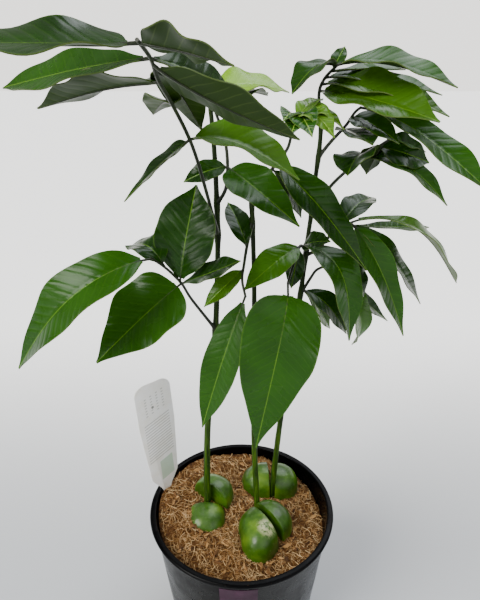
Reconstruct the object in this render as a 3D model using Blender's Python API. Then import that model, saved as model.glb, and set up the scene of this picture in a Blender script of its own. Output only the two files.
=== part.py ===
"""Three young black bean trees in a nursery pot, in metres, +Z up.

The origin is the centre of the pot's underside. +X is to the right and +Y to the back
when the plant is seen from its front.
"""
import math
from collections import namedtuple

import bmesh
import bpy
import numpy as np
from mathutils import Matrix, Vector

MM = 0.001
GAP = 0.3 * MM                # clearance between pieces that touch
MERGE = 0.0001 * MM           # points nearer than this are one
SHARP_ANGLE = 40              # degrees, above which an edge isn't shaded smooth

# Pot: a 140 mm thin-walled nursery pot
POT_HEIGHT = 120 * MM
POT_RIM_RADIUS = 70 * MM
POT_NECK_RADIUS = 66.5 * MM   # outside of the wall just under the rim
POT_FOOT_RADIUS = 54 * MM
POT_WALL = 1.2 * MM
POT_FLOOR = 2 * MM
FOOT_EDGE = 1 * MM            # bevel round the underside
RIM_DEPTH = 4 * MM
RIM_EDGE = 1.2 * MM           # rounding of the rolled rim
DRAIN_HOLES = 6
DRAIN_HOLE_RADIUS = 5 * MM
DRAIN_RING_RADIUS = 38 * MM
DRAIN_SIDES = 12
POT_SIDES = 64

# Potting mix: a bed of coir, highest at the back left
MIX_LEVEL = 109 * MM
MIX_RISE_LEFT = 0.12          # rise for each unit to the left
MIX_RISE_BACK = 0.07
MIX_BUMP = 0.9 * MM
BUMP_LENGTHS = (7 * MM, 6 * MM, 11 * MM)
MIX_RINGS = 5
MIX_SECTORS = 40

# Stems, each through (x, y, z) points in mm, with the radius at foot and top
Stem = namedtuple("Stem", "points foot top")
STEMS = {
    "left": Stem([(-27, 7, 96), (-27, 7, 115), (-25, 6, 185), (-18, 5, 260), (-15, 4, 323),
                  (-15, 3, 354), (-16, 2, 386), (-18, 3, 410)], 2.7, 1.3),
    "mid": Stem([(12, 4, 96), (12, 4, 115), (9, 6, 185), (8, 5, 289), (7, 3, 324),
                 (6, 2, 346), (5, 2, 368)], 2.4, 1.3),
    "right": Stem([(25, 21, 96), (25, 21, 115), (30, 22, 186), (39, 18, 283), (42, 15, 330),
                   (43, 14, 343), (44, 12, 366), (45, 10, 384), (45, 9, 404)], 2.4, 1.2),
}
STEM_SIDES = 8
STEM_SEGMENTS = 14
CURVE_STEPS = 12              # between two of the points a smooth path goes through

# Seed halves: the middle of the flat inner face, in mm, the heading that the rounded side
# faces in degrees, and half length, half height and thickness in mm. A beak stretches the
# half towards its own heading, and "behind" is how far it goes on behind its widest place,
# as a share of its thickness.
SeedHalf = namedtuple("SeedHalf", "face heading size beak beak_heading behind",
                      defaults=(0.0, 0.0, 0.0))
SEED_HALVES = {
    "left_front": SeedHalf((-27, 3, 106), 268, (14.5, 13, 16.5), behind=0.35),
    "left_back": SeedHalf((-25, 11, 112), 60, (16, 17, 15), behind=0.3),
    "mid_front": SeedHalf((16, -13, 107), 217, (16.5, 17, 18), 0.55, 262),
    "mid_back": SeedHalf((20, -10, 108), 40, (17, 16, 18)),
    "right_left": SeedHalf((22, 32, 108), 184, (15, 19, 22)),
    "right_right": SeedHalf((27, 32, 108), 0, (15, 18, 20)),
}
SEED_ROUNDS = 20
SEED_RINGS = 10
SEED_SQUARENESS = 2.4         # above 2 the half seed is fuller than an ellipsoid
BEAK_SHARPNESS = 4

# Leaflets. "at" is the share of the rachis where the stalk leaves, "tip" a place in mm,
# "width" in mm, "face" the way the glossy side looks, "arch" the rise of the midrib over
# the straight line as a share of its length, "skew" below 1 moves that rise to the base,
# "twist" in degrees turns the blade from base to tip, "fold" is the slope of the two
# halves, "wave" the height of the edge's waves as a share of the width, "blunt" below 1
# widens the blade sooner, and "ripple" in radians moves the waves along.
Leaflet = namedtuple("Leaflet", "at tip width face arch skew twist fold wave blunt ripple",
                     defaults=(0.12, 0.8, 0, 0.22, 0.05, 1.0, 0.0))
Frond = namedtuple("Frond", "stem height rachis leaflets")
FRONDS = {
    "frond_front_left": Frond("left", 333, [
        (-21, -18, 369), (-25, -38, 391), (-30, -62, 409), (-33, -80, 419),
        (-33, -95, 426), (-35, -108, 431)], [
        Leaflet(0.49, (27, -52, 376), 27, (0, -0.4, 1), 0.13, fold=0.4, blunt=0.85),
        Leaflet(0.49, (-60, -40, 363), 14, (-0.3, -0.3, 1), 0.03, blunt=0.7),
        Leaflet(0.67, (-44, -30, 404), 18, (0, 0.2, 1), 0.10),
        Leaflet(0.88, (23, -80, 397), 21, (0, 0.6, 1), -0.03),
        Leaflet(0.79, (-89, -60, 408), 29, (0, 0.2, 1), 0.04, twist=-20, blunt=0.75),
        Leaflet(0.91, (-107, -50, 416), 19, (0, -1, 1), 0.02, twist=15, blunt=1.2),
        Leaflet(0.91, (-4, -60, 415), 17, (0, -1.2, 1), 0.03, blunt=1.3),
        Leaflet(1.00, (-3, -122, 423), 20, (0, 0.5, 1), 0.03, wave=0.07, blunt=0.8,
                ripple=1.57),
        Leaflet(1.00, (-122, -118, 430), 33, (0, -0.33, 1), 0.0, fold=0.16, wave=0.06,
                blunt=0.65, ripple=-3.4),
        Leaflet(0.85, (-20, -35, 397), 19, (-0.2, -0.5, 1), 0.08),
    ]),
    "frond_low_left": Frond("left", 268, [
        (-31, -8, 295), (-36, -16, 309), (-44, -22, 321), (-51, -28, 329)], [
        Leaflet(0.64, (-84, -42, 270), 43, (-0.3, -0.8, 0.7), 0.04, blunt=0.72),
        Leaflet(0.66, (-26, -6, 365), 36, (-0.2, -1, 0.3), 0.06, blunt=1.15),
        Leaflet(0.64, (-1, -30, 328), 16, (0, -0.5, 1), 0.0, blunt=1.4),
        Leaflet(0.85, (-68, 0, 327), 22, (0, -0.3, 1), 0.26),
        Leaflet(1.00, (-128, -45, 268), 31, (-0.2, -0.7, 0.8), 0.19, blunt=0.85),
    ]),
    "frond_top_left": Frond("left", 352, [
        (-9, -3, 364), (-9, 0, 385), (-15, 8, 403), (-21, 14, 416)], [
        Leaflet(0.35, (-33, -8, 367), 13, (0, -0.8, 0.7), 0.12),
        Leaflet(0.35, (30, -36, 349), 26, (0.1, -0.7, 0.8), 0.03, blunt=0.7),
        Leaflet(0.60, (12, 10, 381), 16, (0, -0.4, 1), 0.10),
        Leaflet(0.80, (16, 45, 411), 26, (0, -0.3, 1), 0.14),
        Leaflet(0.92, (28, 30, 413), 30, (0, -0.4, 1), 0.12),
        Leaflet(1.00, (-6, 22, 414), 14, (0, -0.7, 0.8), 0.12),
    ]),
    "frond_low_mid": Frond("mid", 341, [
        (3, -8, 330), (1, -18, 321), (0, -24, 314), (2, -28, 305)], [
        Leaflet(0.35, (-9, 22, 349), 14, (0, -0.4, 1), 0.10),
        Leaflet(0.65, (-22, -30, 300), 12, (-0.3, -0.7, 0.8), 0.02),
        Leaflet(1.00, (-25, -35, 219), 22, (-0.3, -1, 0.3), 0.05),
    ]),
    "frond_high_mid": Frond("mid", 352, [
        (13, 0, 367), (19, -3, 376), (25, -6, 385), (27, -10, 395), (30, -14, 401)], [
        Leaflet(0.42, (36, 6, 343), 13, (0, -0.6, 0.8), 0.12),
        Leaflet(0.48, (71, -24, 320), 24, (0.2, -0.6, 0.8), 0.06, blunt=0.8),
        Leaflet(0.88, (20, -32, 401), 14, (0, -0.5, 1), 0.27, blunt=0.75),
        Leaflet(0.92, (24, -35, 395), 16, (0, -0.8, 0.6), 0.2, blunt=0.75),
        Leaflet(0.95, (34, -37, 394), 17, (0, -0.8, 0.6), 0.24, blunt=0.75),
        Leaflet(0.97, (46, -31, 393), 18, (0.3, -0.6, 0.7), 0.27, blunt=0.75),
        Leaflet(1.00, (53, -19, 396), 16, (0.2, -0.3, 1), 0.25, blunt=0.75),
        Leaflet(1.00, (44, 2, 410), 13, (0, 0, 1), 0.15),
    ]),
    "frond_low_right": Frond("right", 319, [
        (36, 6, 325), (31, -5, 316), (27, -16, 309)], [
        Leaflet(0.30, (1, -22, 307), 20, (-0.2, -0.7, 0.8), 0.07),
        Leaflet(0.30, (64, -28, 277), 24, (0.6, -0.9, 0.5), 0.33),
        Leaflet(0.20, (53, -3, 331), 15, (0, -0.6, 0.8), 0.10),
        Leaflet(0.35, (32, 10, 295), 12, (0, -0.5, 0.8), 0.0),
        Leaflet(1.00, (9, -36, 204), 45, (0, -1, 0.35), 0.2, skew=0.45, fold=0.1, blunt=0.6),
    ]),
    "frond_side_right": Frond("right", 316, [
        (48, 12, 321), (56, 6, 334), (62, 2, 340), (66, 0, 341)], [
        Leaflet(0.55, (75, 8, 317), 14, (0.3, -0.6, 0.8), 0.15),
        Leaflet(0.80, (87, 36, 349), 18, (-0.2, -0.5, 0.8), 0.15),
        Leaflet(0.85, (129, 44, 327), 12, (0, -0.4, 1), 0.0, blunt=2.2),
        Leaflet(0.92, (143, 18, 296), 22, (0.2, -0.3, 1), 0.2, skew=0.75, blunt=2.0),
        Leaflet(0.97, (120, 15, 282), 20, (0.4, -0.5, 0.8), 0.07),
        Leaflet(1.00, (101, -14, 273), 21, (0.4, -0.8, 0.6), 0.08, blunt=0.75),
    ]),
    "frond_under_right": Frond("right", 288, [
        (45, 14, 301), (48, 10, 308), (54, 6, 312), (60, 2, 312)], [
        Leaflet(0.10, (62, 22, 260), 14, (0.3, -0.5, 0.8), 0.05, blunt=1.5),
        Leaflet(0.10, (71, 10, 262), 18, (0.6, -0.6, 0.5), 0.16),
        Leaflet(0.95, (101, 20, 267), 18, (0.4, -0.4, 0.8), -0.03, blunt=0.9),
        Leaflet(0.95, (79, 4, 292), 22, (0.7, -0.6, 0.4), 0.2),
        Leaflet(1.00, (73, 0, 259), 24, (0.9, -0.7, 0.3), 0.18, skew=1.6, blunt=1.3),
    ]),
    "frond_far_right": Frond("right", 346, [
        (52, 10, 360), (60, 6, 370), (71, 0, 381), (77, -5, 387), (82, -8, 391)], [
        Leaflet(0.74, (57, -16, 372), 27, (0, 0.3, 1), 0.18),
        Leaflet(0.60, (108, 28, 368), 14, (0, -0.4, 1), 0.12),
        Leaflet(0.68, (115, -14, 355), 18, (0.2, -0.5, 0.9), 0.17),
        Leaflet(0.85, (105, -4, 377), 22, (0.1, -0.8, 0.7), 0.06),
        Leaflet(1.00, (108, 12, 381), 13, (0.1, -0.6, 0.9), 0.03),
        Leaflet(0.90, (71, 0, 370), 18, (0, 0.3, 1), 0.05),
    ]),
    "frond_crown_right": Frond("right", 398, [
        (42, 4, 412), (44, 1, 420), (50, -4, 427)], [
        Leaflet(0.50, (94, -40, 401), 33, (0.1, -0.8, 0.9), 0.05, fold=0.35),
        Leaflet(0.60, (108, -15, 402), 26, (0.1, -0.5, 1), 0.09),
        Leaflet(0.72, (110, 5, 412), 20, (0.1, -0.4, 1), 0.06),
        Leaflet(0.85, (91, 15, 425), 12, (0, -0.3, 1), 0.03, blunt=2),
        Leaflet(0.90, (55, 8, 436), 8, (0, -0.5, 1), 0.05),
        Leaflet(0.97, (25, -18, 413), 22, (-0.4, -0.3, 1), 0.18),
        Leaflet(1.00, (104, -30, 416), 24, (0.1, -0.4, 1), 0.09, fold=0.3),
    ]),
    "frond_fork_right": Frond("right", 378, [
        (51, 8, 387), (58, 4, 396), (62, 2, 403), (65, 0, 406)], [
        Leaflet(0.58, (67, -25, 389), 23, (0.2, -0.6, 0.8), 0.04),
        Leaflet(0.80, (82, -20, 389), 19, (-0.1, -0.5, 1), 0.08, blunt=0.7),
        Leaflet(1.00, (122, -44, 369), 21, (0.2, -0.6, 0.8), 0.08, blunt=1.7),
    ]),
}
RACHIS_RADIUS = (1.2, 0.8)    # at its foot and its end, mm
RACHIS_SEGMENTS = 8
RACHIS_SIDES = 6
LAST_STALK = 0.985            # the end leaflet's stalk sits inside the rachis's end
BLADE_THICKNESS = 0.7 * MM
BLADE_STEPS = 9
BLADE_ACROSS = 2
STALK_SHARE = 0.05            # the stalk takes this share of a leaflet's length
STALK_WIDTH = 1.4 * MM
TIP_WIDTH = 1.0 * MM
# Half width along the leaflet, as (share of the blade's length, share of half the width)
BLADE_OUTLINE = [(0.0, 0.06), (0.05, 0.38), (0.13, 0.68), (0.26, 0.93), (0.40, 1.0),
                 (0.56, 0.95), (0.71, 0.75), (0.83, 0.46), (0.92, 0.19), (1.0, 0.0)]
WAVES = 2.5                   # edge waves along one leaflet
WAVE_SHIFT = 2                # radians between the waves of the two edges
SLOPE_STEP = 0.01             # share of the length over which the midrib's slope is taken
END_CROWDING = 0.15           # draws the blade's cross lines towards stalk and tip

# Plant tag, stuck in the mix just inside the rim
TAG_ORIGIN = (-60, 18, 120)       # middle of its neck, level with the rim, mm
TAG_SIDE = (0.74, 0.67, 0)        # the way its width runs
TAG_RISE = (-0.07, 0.03, 1)       # the way its length runs
TAG_THICKNESS = 0.8 * MM
# Right half of its outline as (across, up) from the origin, mm
TAG_OUTLINE = [(1.5, -18), (3, -3), (5, 2), (12, 12), (13, 26), (15.5, 60), (15.5, 90),
               (13.5, 94), (9, 96.5)]

# Sticker on the pot's front
LABEL_WIDTH = 26 * MM
LABEL_HEIGHT = 60 * MM
LABEL_TOP = 112 * MM
LABEL_HEADING = 268               # degrees round the pot
LABEL_THICKNESS = 0.3 * MM
LABEL_STEPS = 8

COLOURS = {                   # linear base colour, roughness
    "pot": ((0.010, 0.010, 0.011), 0.25),
    "potting_mix": ((0.155, 0.075, 0.032), 0.95),
    "stem": ((0.020, 0.042, 0.010), 0.45),
    "seed": ((0.075, 0.180, 0.018), 0.35),
    "leaf": ((0.018, 0.085, 0.006), 0.28),
    "tag": ((0.780, 0.790, 0.770), 0.50),
    "label": ((0.085, 0.030, 0.070), 0.45),
}


def millimetres(point):
    """A point given in mm, in metres."""
    return Vector(point) * MM


def clear_scene():
    """An empty scene to build in."""
    for item in list(bpy.data.objects):
        bpy.data.objects.remove(item, do_unlink=True)


def material(name):
    """A Principled finish of the part's own colour."""
    found = bpy.data.materials.get(name)
    if found:
        return found
    colour, roughness = COLOURS[name]
    finish = bpy.data.materials.new(name)
    finish.use_nodes = True
    shader = finish.node_tree.nodes["Principled BSDF"]
    shader.inputs["Base Color"].default_value = (*colour, 1.0)
    shader.inputs["Roughness"].default_value = roughness
    shader.inputs["Metallic"].default_value = 0.0
    return finish


def add_object(name, mesh, finish, collection=None):
    """A mesh as an object with its finish."""
    item = bpy.data.objects.new(name, mesh)
    (collection or bpy.context.scene.collection).objects.link(item)
    if finish:
        mesh.materials.clear()
        mesh.materials.append(material(finish))
    return item


def finish_mesh(name, bm):
    """The mesh of a bmesh, faces outwards and smooth."""
    bmesh.ops.recalc_face_normals(bm, faces=bm.faces)
    mesh = bpy.data.meshes.new(name)
    bm.to_mesh(mesh)
    bm.free()
    mesh.shade_smooth()
    mesh.set_sharp_from_angle(angle=math.radians(SHARP_ANGLE))
    return mesh


def evaluated_mesh(item):
    """A new mesh of an object with its modifiers applied."""
    bpy.context.view_layer.update()
    graph = bpy.context.evaluated_depsgraph_get()
    return bpy.data.meshes.new_from_object(item.evaluated_get(graph), depsgraph=graph)


def apply_boolean(item, operation, solver="EXACT", other=None, collection=None):
    """One Boolean on an object, applied to its mesh."""
    boolean = item.modifiers.new(operation.title(), "BOOLEAN")
    boolean.operation = operation
    boolean.solver = solver
    if collection:
        boolean.operand_type = "COLLECTION"
        boolean.collection = collection
    else:
        boolean.object = other
    mesh = evaluated_mesh(item)
    item.modifiers.remove(boolean)
    old = item.data
    item.data = mesh
    bpy.data.meshes.remove(old)


def empty_collection(collection):
    """Removes a helper collection with its objects."""
    for item in list(collection.objects):
        bpy.data.objects.remove(item, do_unlink=True)
    bpy.data.collections.remove(collection)


def smooth_path(points, segments):
    """Points at equal steps along a smooth curve through the given points."""
    points = np.asarray(points, float)
    ends = np.vstack([2 * points[0] - points[1], points, 2 * points[-1] - points[-2]])
    fine = []
    for i in range(1, len(ends) - 2):
        before, start, end, after = ends[i - 1:i + 3]
        for k in range(CURVE_STEPS):
            t = k / CURVE_STEPS
            fine.append(0.5 * (2 * start + (end - before) * t
                               + (2 * before - 5 * start + 4 * end - after) * t ** 2
                               + (3 * start - before - 3 * end + after) * t ** 3))
    fine.append(points[-1])
    fine = np.array(fine)
    reach = np.concatenate([[0], np.cumsum(np.linalg.norm(np.diff(fine, axis=0), axis=1))])
    wanted = np.linspace(0, reach[-1], segments + 1)
    return np.column_stack([np.interp(wanted, reach, fine[:, k]) for k in range(3)])


def tube_mesh(name, points, radii, sides):
    """A round bar through points, all in metres, with its own radius at each."""
    curve = bpy.data.curves.new(name, "CURVE")
    curve.dimensions = "3D"
    curve.bevel_depth = 1.0
    curve.bevel_resolution = sides // 2 - 2
    curve.use_fill_caps = True
    spline = curve.splines.new("POLY")
    spline.points.add(len(points) - 1)
    for place, point, radius in zip(spline.points, points, radii):
        place.co = (*point, 1.0)
        place.radius = radius
    item = bpy.data.objects.new(name, curve)
    bpy.context.scene.collection.objects.link(item)
    mesh = evaluated_mesh(item)
    bpy.data.objects.remove(item, do_unlink=True)
    bpy.data.curves.remove(curve)
    bm = bmesh.new()
    bm.from_mesh(mesh)
    bpy.data.meshes.remove(mesh)
    bmesh.ops.remove_doubles(bm, verts=bm.verts, dist=MERGE)
    return finish_mesh(name, bm)


def stem_path(stem):
    """A stem's middle line in metres, and its radius at each point."""
    path = smooth_path(stem.points, STEM_SEGMENTS) * MM
    radii = np.linspace(stem.foot, stem.top, len(path)) * MM
    return path, radii


def stem_at(stem, height):
    """The middle and radius of a stem at a height in mm."""
    path, radii = stem_path(stem)
    level = height * MM
    middle = [np.interp(level, path[:, 2], path[:, k]) for k in range(2)] + [level]
    return np.array(middle), float(np.interp(level, path[:, 2], radii))


def add_stem(name, stem):
    """One stem, a tapering round bar."""
    path, radii = stem_path(stem)
    mesh = tube_mesh(name, path, radii, STEM_SIDES)
    return add_object(name, mesh, "stem")


def revolve(name, profile, sides):
    """A line of (radius, height) points from axis to axis, turned into a solid."""
    bm = bmesh.new()
    corners = [bm.verts.new((radius, 0, height)) for radius, height in profile]
    edges = [bm.edges.new(pair) for pair in zip(corners, corners[1:])]
    bmesh.ops.spin(bm, geom=corners + edges, cent=(0, 0, 0), axis=(0, 0, 1),
                   angle=2 * math.pi, steps=sides, use_merge=True)
    bmesh.ops.remove_doubles(bm, verts=bm.verts, dist=MERGE)
    return finish_mesh(name, bm)


def pot_outside(height):
    """The pot's outer radius at a height, below its rim."""
    share = height / (POT_HEIGHT - RIM_DEPTH)
    return POT_FOOT_RADIUS + share * (POT_NECK_RADIUS - POT_FOOT_RADIUS)


def drain_cutter():
    """A ring of round bars through the pot's floor."""
    bm = bmesh.new()
    for i in range(DRAIN_HOLES):
        turn = 2 * math.pi * i / DRAIN_HOLES
        middle = Vector((math.cos(turn), math.sin(turn), 0)) * DRAIN_RING_RADIUS
        bmesh.ops.create_cone(bm, cap_ends=True, segments=DRAIN_SIDES,
                              radius1=DRAIN_HOLE_RADIUS, radius2=DRAIN_HOLE_RADIUS,
                              depth=4 * POT_FLOOR, matrix=Matrix.Translation(middle))
    return add_object("drain_cutter", finish_mesh("drain_cutter", bm), None)


def add_pot():
    """The nursery pot: tapering wall, rolled rim and a floor with drain holes."""
    neck = POT_HEIGHT - RIM_DEPTH
    inner_top = POT_NECK_RADIUS - POT_WALL
    inner_foot = pot_outside(POT_FLOOR) - POT_WALL
    mesh = revolve("pot", [
        (0, 0),
        (POT_FOOT_RADIUS - FOOT_EDGE, 0),
        (POT_FOOT_RADIUS, FOOT_EDGE),
        (POT_NECK_RADIUS, neck),
        (POT_RIM_RADIUS, neck),
        (POT_RIM_RADIUS, POT_HEIGHT - RIM_EDGE),
        (POT_RIM_RADIUS - RIM_EDGE, POT_HEIGHT),
        (inner_top + RIM_EDGE, POT_HEIGHT),
        (inner_top, POT_HEIGHT - RIM_EDGE),
        (inner_foot, POT_FLOOR),
        (0, POT_FLOOR),
    ], POT_SIDES)
    pot = add_object("pot", mesh, "pot")
    cut(pot, drain_cutter())
    return pot


def wall_inside(height):
    """The pot's inner radius at a height."""
    neck = POT_NECK_RADIUS - POT_WALL
    foot = pot_outside(POT_FLOOR) - POT_WALL
    share = (height - POT_FLOOR) / (POT_HEIGHT - RIM_EDGE - POT_FLOOR)
    return foot + share * (neck - foot)


def mix_level(x, y):
    """Height of the potting mix at a place."""
    short, cross, wide = BUMP_LENGTHS
    bump = math.sin(x / short) * math.cos(y / cross + 1) + math.sin((x + y) / wide)
    return MIX_LEVEL - MIX_RISE_LEFT * x + MIX_RISE_BACK * y + MIX_BUMP * bump


def add_potting_mix():
    """The bed of coir, before its pockets are cut."""
    bm = bmesh.new()
    foot = POT_FLOOR + GAP
    shape = bmesh.ops.create_circle(bm, cap_ends=False, segments=MIX_SECTORS,
                                    radius=wall_inside(foot) - GAP)
    bmesh.ops.translate(bm, verts=shape["verts"], vec=(0, 0, foot))
    floor = bm.faces.new(shape["verts"])
    rim_edges = list(floor.edges)
    top_radius = wall_inside(MIX_LEVEL) - GAP
    for ring in range(MIX_RINGS):
        raised = bmesh.ops.extrude_edge_only(bm, edges=rim_edges)["geom"]
        verts = [part for part in raised if isinstance(part, bmesh.types.BMVert)]
        rim_edges = [part for part in raised if isinstance(part, bmesh.types.BMEdge)]
        share = 1 - ring / MIX_RINGS
        for vert in verts:
            angle = math.atan2(vert.co.y, vert.co.x)
            reach = top_radius * share
            x, y = reach * math.cos(angle), reach * math.sin(angle)
            level = mix_level(x, y)
            if ring == 0:
                reach = wall_inside(level) - 2 * GAP
                x, y = reach * math.cos(angle), reach * math.sin(angle)
            vert.co = (x, y, level)
    bmesh.ops.contextual_create(bm, geom=rim_edges)
    bmesh.ops.triangulate(bm, faces=bm.faces)
    return add_object("potting_mix", finish_mesh("potting_mix", bm), "potting_mix")


def seed_mesh(name, half, grow=0.0):
    """A half seed: a full round side on a flat face, larger all round by grow."""
    length, height, thick = (size * MM + grow for size in half.size)
    thick += grow
    bm = bmesh.new()
    bmesh.ops.create_uvsphere(bm, u_segments=SEED_ROUNDS, v_segments=SEED_RINGS, radius=1.0)
    beak_side = math.radians(half.beak_heading - half.heading)
    for vert in bm.verts:
        x, y, z = vert.co
        toward = max(0.0, math.cos(math.atan2(y, x) - beak_side))
        beak = 1 + half.beak * toward ** BEAK_SHARPNESS * (1 - z * z)
        reach = sum(abs(share) ** SEED_SQUARENESS for share in (x, y, z))
        full = reach ** (-1 / SEED_SQUARENESS) * beak
        vert.co = Vector((x * thick, y * length, z * height)) * full
    behind = half.behind * thick
    bmesh.ops.bisect_plane(bm, geom=bm.verts[:] + bm.edges[:] + bm.faces[:],
                           plane_co=(-behind, 0, 0), plane_no=(1, 0, 0), clear_inner=True,
                           dist=MERGE)
    bmesh.ops.holes_fill(bm, edges=[e for e in bm.edges if e.is_boundary], sides=0)
    bmesh.ops.translate(bm, verts=bm.verts, vec=(behind - grow, 0, 0))
    turn = Matrix.Rotation(math.radians(half.heading), 3, "Z")
    bmesh.ops.rotate(bm, verts=bm.verts, cent=(0, 0, 0), matrix=turn)
    bmesh.ops.translate(bm, verts=bm.verts, vec=millimetres(half.face))
    return finish_mesh(name, bm)


def add_seed_half(name, half):
    """One half of a seed."""
    return add_object(f"seed_half_{name}", seed_mesh(name, half), "seed")


def stem_cutter(stem):
    """A stem's shape with its clearance, to cut its hole."""
    path, radii = stem_path(stem)
    path[0][2] -= GAP
    mesh = tube_mesh("stem_cutter", path, radii + GAP, STEM_SIDES)
    return add_object("stem_cutter", mesh, None)


def cut(item, cutter):
    """Cuts one object with another, which is then removed."""
    cutter.hide_render = True
    cutter.display_type = "WIRE"
    apply_boolean(item, "DIFFERENCE", other=cutter)
    bpy.data.objects.remove(cutter, do_unlink=True)


def unit(vector):
    """A vector of length one."""
    return vector / np.linalg.norm(vector)


def blade_width(share):
    """Half width of a leaflet, from 0 to 1, at a share of its length past the stalk."""
    along, wide = zip(*BLADE_OUTLINE)
    return float(np.interp(share, along, wide))


def blade_point(base, leaflet, share, across):
    """A point of a leaflet's middle surface: share along it, across from -1 to 1."""
    tip = np.array(leaflet.tip, float) * MM
    length = np.linalg.norm(tip - base)
    along = (tip - base) / length
    face = np.array(leaflet.face, float)
    up = unit(face - along * (face @ along))
    side = np.cross(along, up)

    def midrib(t):
        rise = math.sin(math.pi * t ** leaflet.skew)
        return base + (tip - base) * t + up * leaflet.arch * length * rise

    ahead, behind = min(share + SLOPE_STEP, 1.0), max(share - SLOPE_STEP, 0.0)
    heading = unit(midrib(ahead) - midrib(behind))
    turn = math.radians(leaflet.twist) * (share - 0.5)
    level = np.cross(side, heading)
    side = side * math.cos(turn) + level * math.sin(turn)
    normal = np.cross(side, heading)
    half = leaflet.width * MM / 2
    blade_share = max(0.0, (share - STALK_SHARE) / (1 - STALK_SHARE))
    wide = half * blade_width(blade_share ** leaflet.blunt)
    least = TIP_WIDTH / 2 if share > 0.5 else STALK_WIDTH / 2
    reach = max(wide, least)
    shift = leaflet.ripple + (0 if across > 0 else WAVE_SHIFT)
    wave = math.sin(2 * math.pi * WAVES * share + shift)
    lift = leaflet.fold * abs(across) * wide
    lift += leaflet.wave * leaflet.width * MM * wave * across ** 2 * min(1.0, wide / half)
    return midrib(share) + side * across * reach + normal * lift


def blade_object(base, leaflet, collection):
    """One leaflet as a thin closed solid."""
    bm = bmesh.new()
    bmesh.ops.create_grid(bm, x_segments=BLADE_STEPS, y_segments=BLADE_ACROSS, size=1.0)
    for vert in bm.verts:
        share = (vert.co.x + 1) / 2
        crowding = 1 - END_CROWDING + END_CROWDING * abs(2 * share - 1)
        share = 0.5 - 0.5 * math.cos(math.pi * share) * crowding
        vert.co = Vector(blade_point(base, leaflet, share, vert.co.y))
    bmesh.ops.triangulate(bm, faces=bm.faces)
    bmesh.ops.solidify(bm, geom=bm.faces[:], thickness=BLADE_THICKNESS)
    mesh = finish_mesh("leaflet", bm)
    return add_object("leaflet", mesh, "leaf", collection)


def rachis_path(frond):
    """A rachis's middle line in metres, from just outside its stem."""
    stem = STEMS[frond.stem]
    joint, stem_radius = stem_at(stem, frond.height)
    first = np.array(frond.rachis[0], float) * MM
    away = first - joint
    level = unit(np.array([away[0], away[1], 0.0]))
    slope = abs(away[2]) / np.linalg.norm(away)
    reach = stem_radius + GAP + RACHIS_RADIUS[0] * MM * slope
    start = joint + level * reach
    points = [tuple(start / MM)] + frond.rachis
    return smooth_path(points, RACHIS_SEGMENTS) * MM


def along_path(path, share):
    """The point at a share of a path's length."""
    reach = np.concatenate([[0], np.cumsum(np.linalg.norm(np.diff(path, axis=0), axis=1))])
    return np.array([np.interp(share * reach[-1], reach, path[:, k]) for k in range(3)])


def add_frond(name, frond):
    """A rachis with its leaflets, joined in one solid."""
    path = rachis_path(frond)
    radii = np.linspace(*RACHIS_RADIUS, len(path)) * MM
    rachis = add_object(name, tube_mesh(name, path, radii, RACHIS_SIDES), "leaf")
    blades = bpy.data.collections.new("leaflets")
    bpy.context.scene.collection.children.link(blades)
    for leaflet in frond.leaflets:
        blade_object(along_path(path, min(leaflet.at, LAST_STALK)), leaflet, blades)
    apply_boolean(rachis, "UNION", solver="MANIFOLD", collection=blades)
    empty_collection(blades)
    return rachis


def tag_plate(name, finish, grow=0.0):
    """The plant tag's plate, larger all round by grow."""
    side = Vector(TAG_SIDE).normalized()
    rise = Vector(TAG_RISE).normalized()
    front = side.cross(rise).normalized()
    right = [(across * MM + grow, up * MM) for across, up in TAG_OUTLINE]
    right[0] = (right[0][0], right[0][1] - grow)
    outline = right + [(-across, up) for across, up in reversed(right)]
    bm = bmesh.new()
    plate = bm.faces.new([bm.verts.new(millimetres(TAG_ORIGIN) + side * across + rise * up)
                          for across, up in outline])
    thickness = TAG_THICKNESS + 2 * grow
    bmesh.ops.translate(bm, verts=plate.verts, vec=-front * thickness / 2)
    raised = bmesh.ops.extrude_face_region(bm, geom=[plate])["geom"]
    far = [part for part in raised if isinstance(part, bmesh.types.BMVert)]
    bmesh.ops.translate(bm, verts=far, vec=front * thickness)
    return add_object(name, finish_mesh(name, bm), finish)


def add_label():
    """The sticker, wrapped round the front of the pot."""
    bm = bmesh.new()
    bmesh.ops.create_grid(bm, x_segments=LABEL_STEPS, y_segments=1, size=0.5)
    for vert in bm.verts:
        level = LABEL_TOP + (vert.co.y - 0.5) * LABEL_HEIGHT
        reach = pot_outside(level) + GAP
        turn = math.radians(LABEL_HEADING) + vert.co.x * LABEL_WIDTH / POT_NECK_RADIUS
        vert.co = (reach * math.cos(turn), reach * math.sin(turn), level)
    bmesh.ops.recalc_face_normals(bm, faces=bm.faces)
    raised = bmesh.ops.extrude_face_region(bm, geom=bm.faces[:])["geom"]
    for part in raised:
        if isinstance(part, bmesh.types.BMVert):
            away = Vector((part.co.x, part.co.y, 0)).normalized()
            part.co += away * LABEL_THICKNESS
    return add_object("pot_label", finish_mesh("pot_label", bm), "label")


def main():
    """Builds the whole plant."""
    clear_scene()
    add_pot()
    mix = add_potting_mix()
    for name, half in SEED_HALVES.items():
        seed = add_seed_half(name, half)
        stem = STEMS[name.split("_")[0]]
        cut(seed, stem_cutter(stem))
        pocket = add_object("pocket", seed_mesh("pocket", half, grow=GAP), None)
        cut(mix, pocket)
    for name, stem in STEMS.items():
        cut(mix, stem_cutter(stem))
        add_stem(f"stem_{name}", stem)
    for name, frond in FRONDS.items():
        add_frond(name, frond)
    cut(mix, tag_plate("slot", None, grow=GAP))
    tag_plate("plant_tag", "tag")
    add_label()


main()
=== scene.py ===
import math
import random
from collections import namedtuple

import bmesh
import bpy
import numpy as np
from mathutils import Matrix, Vector, noise


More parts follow.
